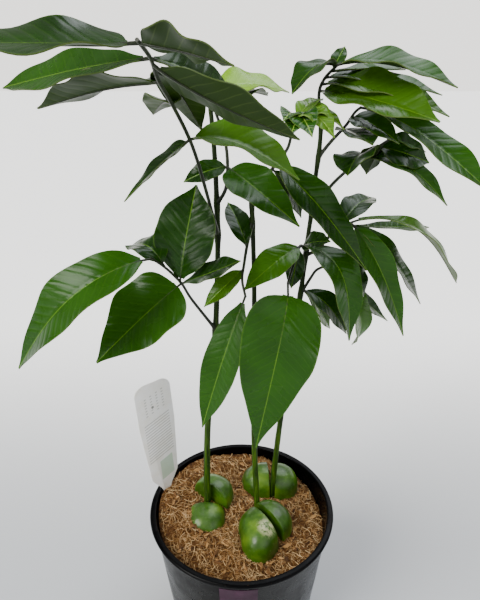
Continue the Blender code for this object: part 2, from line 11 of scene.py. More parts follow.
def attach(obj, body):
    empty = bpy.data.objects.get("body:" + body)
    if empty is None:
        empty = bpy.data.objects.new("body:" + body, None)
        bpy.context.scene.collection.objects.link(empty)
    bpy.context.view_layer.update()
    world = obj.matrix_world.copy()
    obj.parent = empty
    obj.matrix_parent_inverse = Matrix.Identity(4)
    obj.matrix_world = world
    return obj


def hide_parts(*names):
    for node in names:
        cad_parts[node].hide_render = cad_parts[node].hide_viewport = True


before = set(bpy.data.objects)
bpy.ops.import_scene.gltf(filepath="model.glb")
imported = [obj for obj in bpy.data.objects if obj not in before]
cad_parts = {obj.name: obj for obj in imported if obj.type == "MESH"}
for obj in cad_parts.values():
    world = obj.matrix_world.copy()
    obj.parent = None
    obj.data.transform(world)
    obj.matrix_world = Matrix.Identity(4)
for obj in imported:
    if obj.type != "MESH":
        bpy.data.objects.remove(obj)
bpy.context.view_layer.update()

# Three young black bean trees in a nursery pot. +X is to the right and +Y to the back.
MM = 0.001
MERGE = 0.0001 * MM
SMOOTH_ANGLE = 60             # degrees

# Camera at the viewing distance of a picture taken by hand
CAMERA_PLACE = (-0.00124, -0.2920, 0.4179)
CAMERA_TILT = 66.555          # degrees from straight down
CAMERA_LENS = 30
CAMERA_SENSOR = 36

# Pot: a 140 mm thin-walled nursery pot
POT_HEIGHT = 120 * MM
POT_RIM_RADIUS = 70 * MM
POT_NECK_RADIUS = 66.5 * MM   # outside of the wall just under the rim
POT_FOOT_RADIUS = 54 * MM
POT_WALL = 1.2 * MM
POT_FLOOR = 2 * MM
FOOT_EDGE = 1 * MM            # bevel round the underside
RIM_DEPTH = 4 * MM
RIM_EDGE = 1.2 * MM           # rounding of the rim's lower and inner edges
RIM_ROLL = 1.6 * MM           # radius of the rolled lip's rounding
SHOULDER_DROP = 0.6 * MM      # of the shoulder under the rim
SHOULDER_WIDTH = 0.5 * MM
DRAIN_HOLES = 6
DRAIN_HOLE_RADIUS = 5 * MM
DRAIN_RING_RADIUS = 38 * MM
DRAIN_SIDES = 32
DRAIN_CUT = 8 * MM            # length of the bars that cut the drain holes
POT_SIDES = 128
HOLLOW_RADIUS = 30 * MM       # of the raised middle of the underside
HOLLOW_DEPTH = 0.8 * MM
HOLLOW_SLOPE = 1 * MM         # width of the slope round it
FOOT_LEVEL = 13.2 * MM        # height of the groove above the foot
FOOT_GROOVE = 1.2 * MM        # half its width
FOOT_GROOVE_DEPTH = 0.35 * MM

# Potting mix: a bed of coir, highest at the back left
MIX_LEVEL = 109 * MM
MIX_RISE_LEFT = 0.12          # rise for each unit to the left
MIX_RISE_BACK = 0.07
MIX_GAP = 0.3 * MM            # clearance to the pot
MIX_BUMP = 0.9 * MM
BUMP_LENGTHS = (7 * MM, 6 * MM, 11 * MM)
MIX_RINGS = 46
MIX_SECTORS = 150
MIX_ROUGHNESS = 1.7 * MM      # height of its lumps
MIX_LUMP = 5.5 * MM
MIX_FRACTAL = (0.9, 2.1, 4)   # fading, step in scale and layers of its noise
WALL_MARGIN = 1 * MM          # that strands keep from the pot's wall
FIBRES = 3600
FIBRE_DRAWS = 11              # start of the strands' random numbers
FIBRE_POINTS = 5
FIBRE_SIDES = 4
FIBRE_LENGTH = (4, 15)        # mm
FIBRE_RADIUS = (0.10, 0.30)   # mm
FIBRE_BEND = 0.35             # usual bend of a strand, radians
FIBRE_LIFT = (0.1, 0.9)       # mm
FIBRE_TILT = 0.10             # usual rise for each unit along a strand
CHIPS = 420
CHIP_DRAWS = 5
CHIP_SIZE = (0.8, 2.6)        # mm
CHIP_STRETCH = ((0.8, 1.8), (0.5, 1), (0.3, 0.7))  # length, width and height
CHIP_TIP = 0.5                # usual lean of a crumb, radians
CHIP_JAG = 0.3                # unevenness of a crumb, share of its size
CHIP_RISE = 0.2               # share of a crumb that its middle stands above the mix

# Stems, each through (x, y, z) points in mm, with the radius at foot and top
Stem = namedtuple("Stem", "points foot top")
STEMS = {
    "left": Stem([(-27, 7, 96), (-27, 7, 115), (-25, 6, 185), (-18, 5, 260), (-15, 4, 323),
                  (-15, 3, 354), (-16, 2, 386), (-18, 3, 410)], 2.7, 1.3),
    "mid": Stem([(12, 4, 96), (12, 4, 115), (9, 6, 185), (8, 5, 289), (7, 3, 324),
                 (6, 2, 346), (5, 2, 368)], 2.4, 1.3),
    "right": Stem([(25, 21, 96), (25, 21, 115), (30, 22, 186), (39, 18, 283), (42, 15, 330),
                   (43, 14, 343), (44, 12, 366), (45, 10, 384), (45, 9, 404)], 2.4, 1.2),
}
STEM_SIDES = 20
STEM_SEGMENTS = 110
CURVE_STEPS = 12
NODE_SWELL = 0.30             # swelling of a stem where a frond leaves, share of its radius
NODE_LENGTH = 5 * MM
STEM_GRAIN = 6 * MM
STEM_UNEVEN = 0.05            # change of its radius along the grain, as a share

# Seed halves: the middle of the flat inner face, in mm, the heading that the rounded side
# faces in degrees, and half length, half height and thickness in mm. A beak stretches the
# half towards its own heading, and "behind" is how far it goes on behind its widest place,
# as a share of its thickness.
SeedHalf = namedtuple("SeedHalf", "face heading size beak beak_heading behind",
                      defaults=(0.0, 0.0, 0.0))
SEED_HALVES = {
    "left_front": SeedHalf((-27, 3, 106), 268, (14.5, 13, 16.5), behind=0.35),
    "left_back": SeedHalf((-25, 11, 112), 60, (16, 17, 15), behind=0.3),
    "mid_front": SeedHalf((16, -13, 107), 217, (16.5, 17, 18), 0.55, 262),
    "mid_back": SeedHalf((20, -10, 108), 40, (17, 16, 18)),
    "right_left": SeedHalf((22, 32, 108), 184, (15, 19, 22)),
    "right_right": SeedHalf((27, 32, 108), 0, (15, 18, 20)),
}
SEED_ROUNDS = 72
SEED_RINGS = 36
SEED_SQUARENESS = 2.4
BEAK_SHARPNESS = 4
SEED_DIMPLE = 0.28 * MM
SEED_DIMPLE_SPAN = 9 * MM
SEED_FRACTAL = (0.8, 2.0, 3)
SEED_RIM = 1.0 * MM
SCUFF_PLACE = (17, -25, 120)  # middle of the front seed's pale scuffed patch, mm
SCUFF_REACH = 9 * MM

# Leaflets. "at" is the share of the rachis where the stalk leaves, "tip" a place in mm,
# "width" in mm, "face" the way the glossy side looks, "arch" the rise of the midrib over
# the straight line as a share of its length, "skew" below 1 moves that rise to the base,
# "twist" in degrees turns the blade from base to tip, "fold" is the slope of the two
# halves, "wave" the height of the edge's waves as a share of the width, "blunt" below 1
# widens the blade sooner, and "ripple" in radians moves the waves along.
Leaflet = namedtuple("Leaflet", "at tip width face arch skew twist fold wave blunt ripple",
                     defaults=(0.12, 0.8, 0, 0.22, 0.05, 1.0, 0.0))
# A frond's "looks" give each leaflet's, in the table's order: d deep green, m mid green, b bright
# green, o olive, l lime, y young and bright, n young and darker. Their lightness is partly the
# leaflet's own tone and partly painted shade and light: deep where a leaflet stands in shade,
# bright where it is lit. Lime is the painted glow of a backlit leaflet.
Frond = namedtuple("Frond", "stem height looks rachis leaflets")
FRONDS = {
    "front_left": Frond("left", 333, "odmddmdddd", [
        (-21, -18, 369), (-25, -38, 391), (-30, -62, 409), (-33, -80, 419),
        (-33, -95, 426), (-35, -108, 431)], [
        Leaflet(0.49, (27, -52, 376), 27, (0, -0.4, 1), 0.13, fold=0.4, blunt=0.85),
        Leaflet(0.49, (-60, -40, 363), 14, (-0.3, -0.3, 1), 0.03, blunt=0.7),
        Leaflet(0.67, (-44, -30, 404), 18, (0, 0.2, 1), 0.10),
        Leaflet(0.88, (23, -80, 397), 21, (0, 0.6, 1), -0.03),
        Leaflet(0.79, (-89, -60, 408), 29, (0, 0.2, 1), 0.04, twist=-20, blunt=0.75),
        Leaflet(0.91, (-107, -50, 416), 19, (0, -1, 1), 0.02, twist=15, blunt=1.2),
        Leaflet(0.91, (-4, -60, 415), 17, (0, -1.2, 1), 0.03, blunt=1.3),
        Leaflet(1.00, (-3, -122, 423), 20, (0, 0.5, 1), 0.03, wave=0.07, blunt=0.8,
                ripple=1.57),
        Leaflet(1.00, (-122, -118, 430), 33, (0, -0.33, 1), 0.0, fold=0.16, wave=0.06,
                blunt=0.65, ripple=-3.4),
        Leaflet(0.85, (-20, -35, 397), 19, (-0.2, -0.5, 1), 0.08),
    ]),
    "low_left": Frond("left", 268, "mdddm", [
        (-31, -8, 295), (-36, -16, 309), (-44, -22, 321), (-51, -28, 329)], [
        Leaflet(0.64, (-84, -42, 270), 43, (-0.3, -0.8, 0.7), 0.04, blunt=0.72),
        Leaflet(0.66, (-26, -6, 365), 36, (-0.2, -1, 0.3), 0.06, blunt=1.15),
        Leaflet(0.64, (-1, -30, 328), 16, (0, -0.5, 1), 0.0, blunt=1.4),
        Leaflet(0.85, (-68, 0, 327), 22, (0, -0.3, 1), 0.26),
        Leaflet(1.00, (-128, -45, 268), 31, (-0.2, -0.7, 0.8), 0.19, blunt=0.85),
    ]),
    "top_left": Frond("left", 352, "dmddld", [
        (-9, -3, 364), (-9, 0, 385), (-15, 8, 403), (-21, 14, 416)], [
        Leaflet(0.35, (-33, -8, 367), 13, (0, -0.8, 0.7), 0.12),
        Leaflet(0.35, (30, -36, 349), 26, (0.1, -0.7, 0.8), 0.03, blunt=0.7),
        Leaflet(0.60, (12, 10, 381), 16, (0, -0.4, 1), 0.10),
        Leaflet(0.80, (16, 45, 411), 26, (0, -0.3, 1), 0.14),
        Leaflet(0.92, (28, 30, 413), 30, (0, -0.4, 1), 0.12),
        Leaflet(1.00, (-6, 22, 414), 14, (0, -0.7, 0.8), 0.12),
    ]),
    "low_mid": Frond("mid", 341, "dom", [
        (3, -8, 330), (1, -18, 321), (0, -24, 314), (2, -28, 305)], [
        Leaflet(0.35, (-9, 22, 349), 14, (0, -0.4, 1), 0.10),
        Leaflet(0.65, (-22, -30, 300), 12, (-0.3, -0.7, 0.8), 0.02),
        Leaflet(1.00, (-25, -35, 219), 22, (-0.3, -1, 0.3), 0.05),
    ]),
    "high_mid": Frond("mid", 352, "ddnnnyyy", [
        (13, 0, 367), (19, -3, 376), (25, -6, 385), (27, -10, 395), (30, -14, 401)], [
        Leaflet(0.42, (36, 6, 343), 13, (0, -0.6, 0.8), 0.12),
        Leaflet(0.48, (71, -24, 320), 24, (0.2, -0.6, 0.8), 0.06, blunt=0.8),
        Leaflet(0.88, (20, -32, 401), 14, (0, -0.5, 1), 0.27, blunt=0.75),
        Leaflet(0.92, (24, -35, 395), 16, (0, -0.8, 0.6), 0.2, blunt=0.75),
        Leaflet(0.95, (34, -37, 394), 17, (0, -0.8, 0.6), 0.24, blunt=0.75),
        Leaflet(0.97, (46, -31, 393), 18, (0.3, -0.6, 0.7), 0.27, blunt=0.75),
        Leaflet(1.00, (53, -19, 396), 16, (0.2, -0.3, 1), 0.25, blunt=0.75),
        Leaflet(1.00, (44, 2, 410), 13, (0, 0, 1), 0.15),
    ]),
    "low_right": Frond("right", 319, "bmddm", [
        (36, 6, 325), (31, -5, 316), (27, -16, 309)], [
        Leaflet(0.30, (1, -22, 307), 20, (-0.2, -0.7, 0.8), 0.07),
        Leaflet(0.30, (64, -28, 277), 24, (0.6, -0.9, 0.5), 0.33),
        Leaflet(0.20, (53, -3, 331), 15, (0, -0.6, 0.8), 0.10),
        Leaflet(0.35, (32, 10, 295), 12, (0, -0.5, 0.8), 0.0),
        Leaflet(1.00, (9, -36, 204), 45, (0, -1, 0.35), 0.2, skew=0.45, fold=0.1, blunt=0.6),
    ]),
    "side_right": Frond("right", 316, "ddmodm", [
        (48, 12, 321), (56, 6, 334), (62, 2, 340), (66, 0, 341)], [
        Leaflet(0.55, (75, 8, 317), 14, (0.3, -0.6, 0.8), 0.15),
        Leaflet(0.80, (87, 36, 349), 18, (-0.2, -0.5, 0.8), 0.15),
        Leaflet(0.85, (129, 44, 327), 12, (0, -0.4, 1), 0.0, blunt=2.2),
        Leaflet(0.92, (143, 18, 296), 22, (0.2, -0.3, 1), 0.2, skew=0.75, blunt=2.0),
        Leaflet(0.97, (120, 15, 282), 20, (0.4, -0.5, 0.8), 0.07),
        Leaflet(1.00, (101, -14, 273), 21, (0.4, -0.8, 0.6), 0.08, blunt=0.75),
    ]),
    "under_right": Frond("right", 288, "odddb", [
        (45, 14, 301), (48, 10, 308), (54, 6, 312), (60, 2, 312)], [
        Leaflet(0.10, (62, 22, 260), 14, (0.3, -0.5, 0.8), 0.05, blunt=1.5),
        Leaflet(0.10, (71, 10, 262), 18, (0.6, -0.6, 0.5), 0.16),
        Leaflet(0.95, (101, 20, 267), 18, (0.4, -0.4, 0.8), -0.03, blunt=0.9),
        Leaflet(0.95, (79, 4, 292), 22, (0.7, -0.6, 0.4), 0.2),
        Leaflet(1.00, (73, 0, 259), 24, (0.9, -0.7, 0.3), 0.18, skew=1.6, blunt=1.3),
    ]),
    "far_right": Frond("right", 346, "ddmdmd", [
        (52, 10, 360), (60, 6, 370), (71, 0, 381), (77, -5, 387), (82, -8, 391)], [
        Leaflet(0.74, (57, -16, 372), 27, (0, 0.3, 1), 0.18),
        Leaflet(0.60, (108, 28, 368), 14, (0, -0.4, 1), 0.12),
        Leaflet(0.68, (115, -14, 355), 18, (0.2, -0.5, 0.9), 0.17),
        Leaflet(0.85, (105, -4, 377), 22, (0.1, -0.8, 0.7), 0.06),
        Leaflet(1.00, (108, 12, 381), 13, (0.1, -0.6, 0.9), 0.03),
        Leaflet(0.90, (71, 0, 370), 18, (0, 0.3, 1), 0.05),
    ]),
    "crown_right": Frond("right", 398, "oommddm", [
        (42, 4, 412), (44, 1, 420), (50, -4, 427)], [
        Leaflet(0.50, (94, -40, 401), 33, (0.1, -0.8, 0.9), 0.05, fold=0.35),
        Leaflet(0.60, (108, -15, 402), 26, (0.1, -0.5, 1), 0.09),
        Leaflet(0.72, (110, 5, 412), 20, (0.1, -0.4, 1), 0.06),
        Leaflet(0.85, (91, 15, 425), 12, (0, -0.3, 1), 0.03, blunt=2),
        Leaflet(0.90, (55, 8, 436), 8, (0, -0.5, 1), 0.05),
        Leaflet(0.97, (25, -18, 413), 22, (-0.4, -0.3, 1), 0.18),
        Leaflet(1.00, (104, -30, 416), 24, (0.1, -0.4, 1), 0.09, fold=0.3),
    ]),
    "fork_right": Frond("right", 378, "dmm", [
        (51, 8, 387), (58, 4, 396), (62, 2, 403), (65, 0, 406)], [
        Leaflet(0.58, (67, -25, 389), 23, (0.2, -0.6, 0.8), 0.04),
        Leaflet(0.80, (82, -20, 389), 19, (-0.1, -0.5, 1), 0.08, blunt=0.7),
        Leaflet(1.00, (122, -44, 369), 21, (0.2, -0.6, 0.8), 0.08, blunt=1.7),
    ]),
}
# Lightness and yellowness of each look, from 0 to 1; the lightness holds painted shade and light,
# and the yellowness of l paints the glow of a backlit leaflet
LOOKS_WITH_PAINTED_LIGHT = {"d": (0.2, 0.0), "m": (0.55, 0.0), "b": (0.9, 0.06), "o": (0.6, 0.09),
         "l": (1.0, 0.7), "y": (0.5, 0.15), "n": (0.0, 0.0)}
YOUNG_LOOKS = "yn"
# Leaf skins in pairs of upper and under side: their colours deep, fresh, lime and of the veins,
# then roughness, how far side veins show, relief in mm and clear coat. The lime, mixed in by each
# look's yellowness, also paints the glow of a backlit leaflet.
LEAF_SKINS = [
    ("glossy leaf upper skin", "0a2600", "2a5c00", "8fc02a", "5c8420", 0.22, 0.08, 0.10, 0.0),
    ("matt leaf underside", "1c3008", "365010", "a0c458", "66783a", 0.45, 0.18, 0.06, 0.0),
    ("tender leaf upper skin", "1c4a02", "4a8406", "a4cc40", "94bc48", 0.22, 0.25, 0.5, 0.2),
    ("tender leaf underside", "34580f", "5c8426", "9cc458", "90ac58", 0.35, 0.35, 0.6, 0.0),
]
YOUNG_SKIN = 2                # place of the first tender skin in the table
MIDRIB_SHOW = 0.75
MARGIN_SHOW = 0.35
RACHIS_RADIUS = (1.15, 0.75)  # at its foot and its end, mm
RACHIS_SEGMENTS = 40
LAST_STALK = 0.985            # the end leaflet's stalk sits inside the rachis's end
LAST_RIB = 0.97               # share of a leaflet's length where its rib ends
KNUCKLE_SWELL = 0.45          # swelling at a rachis's foot, share of its radius
KNUCKLE_LENGTH = 0.06         # share of the rachis
BLADE_STEPS = 44
BLADE_ACROSS = 14
BLADE_THICKNESS = 0.5 * MM
STALK_SHARE = 0.05
STALK_WIDTH = 1.4 * MM
STALK_RADIUS = 0.75           # mm
STALK_SIDES = 8
STALK_FADE = 1.6              # the stalk thins to the rib over this many of its lengths
BLADE_OVERLAP = 0.9           # share of the stalk at which the blade starts
RIB_SINK = 0.9                # share of the blade's thickness that its rib lies down
TIP_WIDTH = 0.5 * MM
# Half width along the leaflet, as (share of the blade's length, share of half the width)
BLADE_OUTLINE = [(0.0, 0.06), (0.05, 0.38), (0.13, 0.68), (0.26, 0.93), (0.40, 1.0),
                 (0.56, 0.95), (0.71, 0.75), (0.83, 0.46), (0.92, 0.19), (1.0, 0.0)]
OUTLINE_SOFTENING = (-0.04, -0.02, 0.0, 0.02, 0.04)
WAVES = 2.5
WAVE_SHIFT = 2
SLOPE_STEP = 0.01
END_CROWDING = 0.15
MIDRIB_GROOVE = 0.35 * MM
MIDRIB_SPAN = 0.10            # half width of the groove, share of half the blade
MIDRIB_RADII = (0.65, 0.15)   # of the rib under the blade, mm
MIDRIB_STEPS = 24
VEIN_SPACING = 5.5            # mm
VEIN_LEAN = 0.8               # how far a side vein runs on for each mm sideways
PILLOW = 0.05 * MM            # rise of the blade between side veins
YOUNG_PILLOW = 0.7 * MM

# Plant tag, stuck in the mix just inside the rim
TAG_ORIGIN = (-60, 18, 120)       # middle of its neck, level with the rim, mm
TAG_SIDE = (0.74, 0.67, 0)        # the way its width runs
TAG_RISE = (-0.07, 0.03, 1)       # the way its length runs
TAG_THICKNESS = 0.8 * MM
# Right half of its outline as (across, up) from the origin, mm
TAG_OUTLINE = [(1.5, -18), (3, -3), (5, 2), (12, 12), (13, 26), (15.5, 60), (15.5, 90),
               (13.5, 94), (9, 96.5)]
TAG_CORNER = 1.5 * MM
TAG_EDGE = 0.2 * MM
# Its generic print, all in mm: ruled lines, dashes above them, a dark spot and a block
TAG_LINE_PITCH = 2.4
TAG_LINE_SLANT = -0.25            # rise of a line for each mm across
TAG_LINES = (30, 66)              # heights between which it's ruled
TAG_LINE_SPAN = (-11.5, 11.5)
TAG_DASHES = (71, 88)
TAG_DASH_PITCH = 5.0
TAG_BLOCK = (9, 27)
TAG_BLOCK_SPAN = (-3, 9)
TAG_MARK = (-2, 76)               # across and up
TAG_MARK_RADIUS = 1.3
EDGE_FADE = 0.4                   # softness of a printed edge

# Studio: a lit pale wall behind the plant and a low window before it, in a dim room
WALL_SPREAD = (0.35, 0.75)        # northing of the wall's dark and lit edges, as a sine
WALL_TOP = (0.15, 0.35)           # sine of the height over which the wall fades
WALL_GLOW = 2.5
WINDOW_TURN = math.radians(35)    # of the low window, from the front to the left
WINDOW_SPREAD = (0.85, 0.97)      # cosine of the angle of its edges from its middle
WINDOW_TOP = (0.02, 0.16)         # sine of the height over which it fades
WINDOW_GLOW = 14
ROOM_GLOW = 0.4
FLOOR_HALF = 30                   # m
# Painted light: the floor glows towards the back, though it is no lamp, to meet the lit wall.
FLOOR_GLOW = 0.6
FLOOR_PAINTED_GLOW_SPAN = (0.0, 0.6)           # northing over which the floor pales and glows as painted light, m
# Lights: name, degrees clockwise from the back, height and spread in degrees, strength
# and colour
SUNS = [("window", -125, 42, 35, 3.4, "fffdf8"), ("back window", 35, 60, 50, 2.2, "f4f8ff"),
        ("fill", 140, 25, 60, 0.8, "ffffff")]


def linear(code):
    """A linear colour from an sRGB hex value."""
    parts = [int(code[i:i + 2], 16) / 255 for i in (0, 2, 4)]
    return (*(c / 12.92 if c <= 0.04045 else ((c + 0.055) / 1.055) ** 2.4 for c in parts), 1)


def per_mm(size):
    """The scale of a texture on Object coordinates whose grain is size mm."""
    return 1 / (size * MM)


def add_node(tree, kind, inputs=None, ramp=None, **settings):
    """Adds a shader node with its settings, its inputs or links, and its colour ramp."""
    made = tree.nodes.new("ShaderNode" + kind)
    for name, value in settings.items():
        setattr(made, name, value)
    for name, value in (inputs or {}).items():
        if isinstance(value, bpy.types.NodeSocket):
            tree.links.new(value, made.inputs[name])
        else:
            made.inputs[name].default_value = value
    if ramp:
        stops = made.color_ramp.elements
        while len(stops) < len(ramp):
            stops.new(0.5)
        for stop, (place, code) in zip(stops, ramp):
            stop.position = place
            stop.color = linear(code)
    return made


def new_material(name, values):
    """A material whose shader has these values on its own sockets."""
    made = bpy.data.materials.new(name)
    made.use_nodes = True
    shader = made.node_tree.nodes["Principled BSDF"]
    for socket, value in values.items():
        shader.inputs[socket].default_value = value
    return made, made.node_tree, shader


def mix_colours(tree, factor, first, second):
    """The output that goes from the first colour to the second."""
    return add_node(tree, "Mix", {0: factor, 6: first, 7: second}, data_type="RGBA").outputs[2]


def math_node(tree, operation, *values):
    """The output of one sum on values or sockets."""
    inputs = dict(enumerate(values))
    return add_node(tree, "Math", inputs, operation=operation).outputs[0]


def lay_on(tree, skin, mask, strength, code):
    """The skin's colour with another one laid on it where a mask shows."""
    return mix_colours(tree, math_node(tree, "MULTIPLY", mask, strength), skin, linear(code))


def finish_skin(tree, shader, skin, dull=None):
    """Gives a shader its colour, and its roughness where that varies."""
    tree.links.new(skin, shader.inputs["Base Color"])
    if dull is not None:
        tree.links.new(dull, shader.inputs["Roughness"])


def band(tree, value, low, high, first=0.0, second=1.0):
    """The output that eases from first to second as value goes from low to high."""
    made = add_node(tree, "MapRange", {"Value": value, "From Min": low, "From Max": high,
                                       "To Min": first, "To Max": second},
                    interpolation_type="SMOOTHSTEP")
    return made.outputs[0]


def between(tree, value, low, high):
    """The output that is 1 while value lies between low and high."""
    return math_node(tree, "MULTIPLY", band(tree, value, low, low + EDGE_FADE),
                     band(tree, value, high - EDGE_FADE, high, 1.0, 0.0))


def object_noise(tree, size, detail=3.0, roughness=0.55):
    """Noise with a grain of size mm over the object, from 0 to 1."""
    place = add_node(tree, "TexCoord").outputs["Object"]
    made = add_node(tree, "TexNoise", {"Vector": place, "Scale": per_mm(size),
                                       "Detail": detail, "Roughness": roughness})
    return made.outputs[0]


def bump(tree, shader, height, depth, strength=1.0):
    """Relief of depth mm on a shader from a height output."""
    made = add_node(tree, "Bump", {"Height": height, "Distance": depth * MM,
                                   "Strength": strength})
    tree.links.new(made.outputs[0], shader.inputs["Normal"])


def leaf_material(name, deep, fresh, lime, vein, gloss, vein_show, pillow, coat):
    """A leaf skin: side veins every few mm, a pale midrib and a blade that varies, with painted
    shade and light from each leaflet's look.
    """
    made, tree, shader = new_material(name, {
        "IOR": 1.45, "Coat Weight": coat, "Coat Roughness": 0.22, "Specular IOR Level": 0.25})
    place = add_node(tree, "Attribute", attribute_name="blade").outputs["Vector"]
    along, across, outer = add_node(tree, "SeparateXYZ", {0: place}).outputs
    away = math_node(tree, "ABSOLUTE", across)
    wander = math_node(tree, "MULTIPLY", object_noise(tree, 14), 3.0)
    reach = math_node(tree, "MULTIPLY_ADD", away, -VEIN_LEAN, along)
    phase = math_node(tree, "DIVIDE", math_node(tree, "ADD", reach, wander), VEIN_SPACING)
    from_vein = math_node(tree, "PINGPONG", phase, 0.5)
    side_vein = band(tree, from_vein, 0.0, 0.09, 1.0, 0.0)
    side_vein = math_node(tree, "MULTIPLY", side_vein, band(tree, outer, 0.75, 0.98, 1.0, 0.0))
    midrib = band(tree, away, 0.1, 0.42, 1.0, 0.0)
    # Painted shade and light: each leaflet's look darkens or brightens its skin, and the lime
    # mixed in paints the glow of backlit leaflets.
    look = add_node(tree, "Attribute", attribute_name="look").outputs["Vector"]
    lightness_with_painted_light, yellowness, _ = add_node(tree, "SeparateXYZ", {0: look}).outputs
    blotch = band(tree, object_noise(tree, 26, 2.0), 0.3, 0.7, -0.12, 0.12)
    light = math_node(tree, "ADD", lightness_with_painted_light, blotch)
    light = add_node(tree, "Clamp", {0: light}).outputs[0]
    skin = mix_colours(tree, light, linear(deep), linear(fresh))
    skin = mix_colours(tree, yellowness, skin, linear(lime))
    margin = band(tree, outer, 0.95, 1.0)
    for mask, strength in ((side_vein, vein_show), (midrib, MIDRIB_SHOW),
                           (margin, MARGIN_SHOW)):
        skin = lay_on(tree, skin, mask, strength, vein)
    dull = band(tree, object_noise(tree, 16, 2.0), 0.3, 0.75, gloss, gloss + 0.12)
    finish_skin(tree, shader, skin, dull)
    puffed = band(tree, from_vein, 0.0, 0.35)
    fine = math_node(tree, "MULTIPLY", object_noise(tree, 2.5, 1.0), 0.1)
    bump(tree, shader, math_node(tree, "ADD", puffed, fine), pillow)
    return made


def stalk_material():
    """Green young wood of stalks, smooth with faint ribs."""
    made, tree, shader = new_material("young green stalk", {
        "IOR": 1.45, "Roughness": 0.42, "Specular IOR Level": 0.45})
    tone = object_noise(tree, 7, 3.0)
    skin = add_node(tree, "ValToRGB", {0: tone}, ramp=[
        (0.25, "0d1204"), (0.55, "1a240a"), (0.8, "303c10")]).outputs[0]
    finish_skin(tree, shader, skin)
    bump(tree, shader, object_noise(tree, 0.8, 2.0), 0.08)
    return made


def stem_material():
    """Smooth bark of a seedling: green, darker in streaks, with pale pores, and painted shade
    darkening its upper part.
    """
    made, tree, shader = new_material("green seedling bark", {
        "IOR": 1.45, "Roughness": 0.5, "Specular IOR Level": 0.2})
    place = add_node(tree, "TexCoord").outputs["Object"]
    drawn = add_node(tree, "Mapping", {"Vector": place, "Scale": (1, 1, 0.08)}).outputs[0]
    streak = add_node(tree, "TexNoise", {"Vector": drawn, "Scale": per_mm(1.6),
                                         "Detail": 3.0}).outputs[0]
    skin = add_node(tree, "ValToRGB", {0: streak}, ramp=[
        (0.3, "16260a"), (0.52, "2c480c"), (0.75, "48680f")]).outputs[0]
    height = add_node(tree, "SeparateXYZ", {0: place}).outputs["Z"]
    # Painted shade: the bark darkens towards the top, where the leaves above shade it.
    upper = band(tree, height, 190 * MM, 330 * MM, 0.0, 0.7)
    skin = mix_colours(tree, upper, skin, linear("0d1306"))
    spots = add_node(tree, "TexVoronoi", {"Vector": place, "Scale": per_mm(3.2),
                                          "Randomness": 1.0}).outputs["Distance"]
    skin = lay_on(tree, skin, band(tree, spots, 0.06, 0.13, 1.0, 0.0), 0.5, "6f7c3c")
    finish_skin(tree, shader, skin)
    bump(tree, shader, streak, 0.15, 0.7)
    return made


def seed_material():
    """Taut glossy seed flesh, green with paler wax-like patches."""
    made, tree, shader = new_material("green seed flesh", {
        "IOR": 1.45, "Coat Weight": 0.15, "Coat Roughness": 0.2,
        "Subsurface Weight": 0.08, "Subsurface Radius": (0.3, 0.6, 0.1),
        "Subsurface Scale": 2 * MM})
    broad = object_noise(tree, 16, 3.0)
    skin = add_node(tree, "ValToRGB", {0: broad}, ramp=[
        (0.30, "1e3a06"), (0.5, "365c0a"), (0.72, "5f8212")]).outputs[0]
    bloom = band(tree, object_noise(tree, 2.2, 4.0, 0.7), 0.56, 0.74)
    skin = lay_on(tree, skin, bloom, 0.22, "8da478")
    dents = band(tree, object_noise(tree, 4.5, 2.0), 0.62, 0.72)
    skin = lay_on(tree, skin, dents, 0.35, "1a3007")
    place = add_node(tree, "TexCoord").outputs["Object"]
    away = add_node(tree, "VectorMath", {0: place, 1: Vector(SCUFF_PLACE) * MM},
                    operation="DISTANCE").outputs["Value"]
    patch = band(tree, away, SCUFF_REACH / 2, SCUFF_REACH, 1.0, 0.0)
    scuff = math_node(tree, "MULTIPLY", patch,
                      band(tree, object_noise(tree, 3, 4.0, 0.7), 0.42, 0.56))
    skin = lay_on(tree, skin, scuff, 0.7, "c9c79a")
    finish_skin(tree, shader, skin, band(tree, object_noise(tree, 5, 3.0), 0.3, 0.7, 0.30, 0.46))
    bump(tree, shader, object_noise(tree, 1.6, 3.0), 0.08, 0.8)
    return made


def coir_material(name, dark, mid, pale, grain):
    """Coconut coir, dry and matt, each strand of its own brown."""
    made, tree, shader = new_material(name, {"IOR": 1.5, "Roughness": 0.85,
                                             "Specular IOR Level": 0.25})
    strand = add_node(tree, "NewGeometry").outputs["Random Per Island"]
    patch = object_noise(tree, grain, 5.0, 0.7)
    blend = math_node(tree, "ADD", math_node(tree, "MULTIPLY", strand, 0.6),
                      math_node(tree, "MULTIPLY", patch, 0.45))
    skin = add_node(tree, "ValToRGB", {0: blend}, ramp=[
        (0.18, dark), (0.55, mid), (0.92, pale)]).outputs[0]
    finish_skin(tree, shader, skin)
    bump(tree, shader, object_noise(tree, 0.5, 3.0), 0.25)
    return made


def mix_material():
    """Packed coir dust and short fibre under the loose strands."""
    made, tree, shader = new_material("packed coir dust", {
        "IOR": 1.5, "Roughness": 0.95, "Specular IOR Level": 0.2})
    patch = object_noise(tree, 2.2, 6.0, 0.75)
    skin = add_node(tree, "ValToRGB", {0: patch}, ramp=[
        (0.3, "20130a"), (0.5, "553619"), (0.66, "80582f"), (0.82, "b48a52")]).outputs[0]
    finish_skin(tree, shader, skin)
    bump(tree, shader, object_noise(tree, 0.9, 5.0, 0.8), 0.9)
    return made


def pot_material():
    """Injection-moulded polypropylene, black and glossy, with handling dust."""
    made, tree, shader = new_material("black polypropylene", {
        "IOR": 1.49, "Specular IOR Level": 0.08})
    dust = band(tree, object_noise(tree, 30, 5.0, 0.65), 0.5, 0.75)
    skin = lay_on(tree, linear("020203"), dust, 0.07, "101010")
    specks = band(tree, object_noise(tree, 0.9, 1.0), 0.72, 0.78)
    skin = lay_on(tree, skin, specks, 0.3, "5a4632")
    finish_skin(tree, shader, skin, band(tree, object_noise(tree, 18, 4.0), 0.3, 0.8, 0.20, 0.42))
    bump(tree, shader, object_noise(tree, 1.5, 2.0), 0.03, 0.6)
    return made


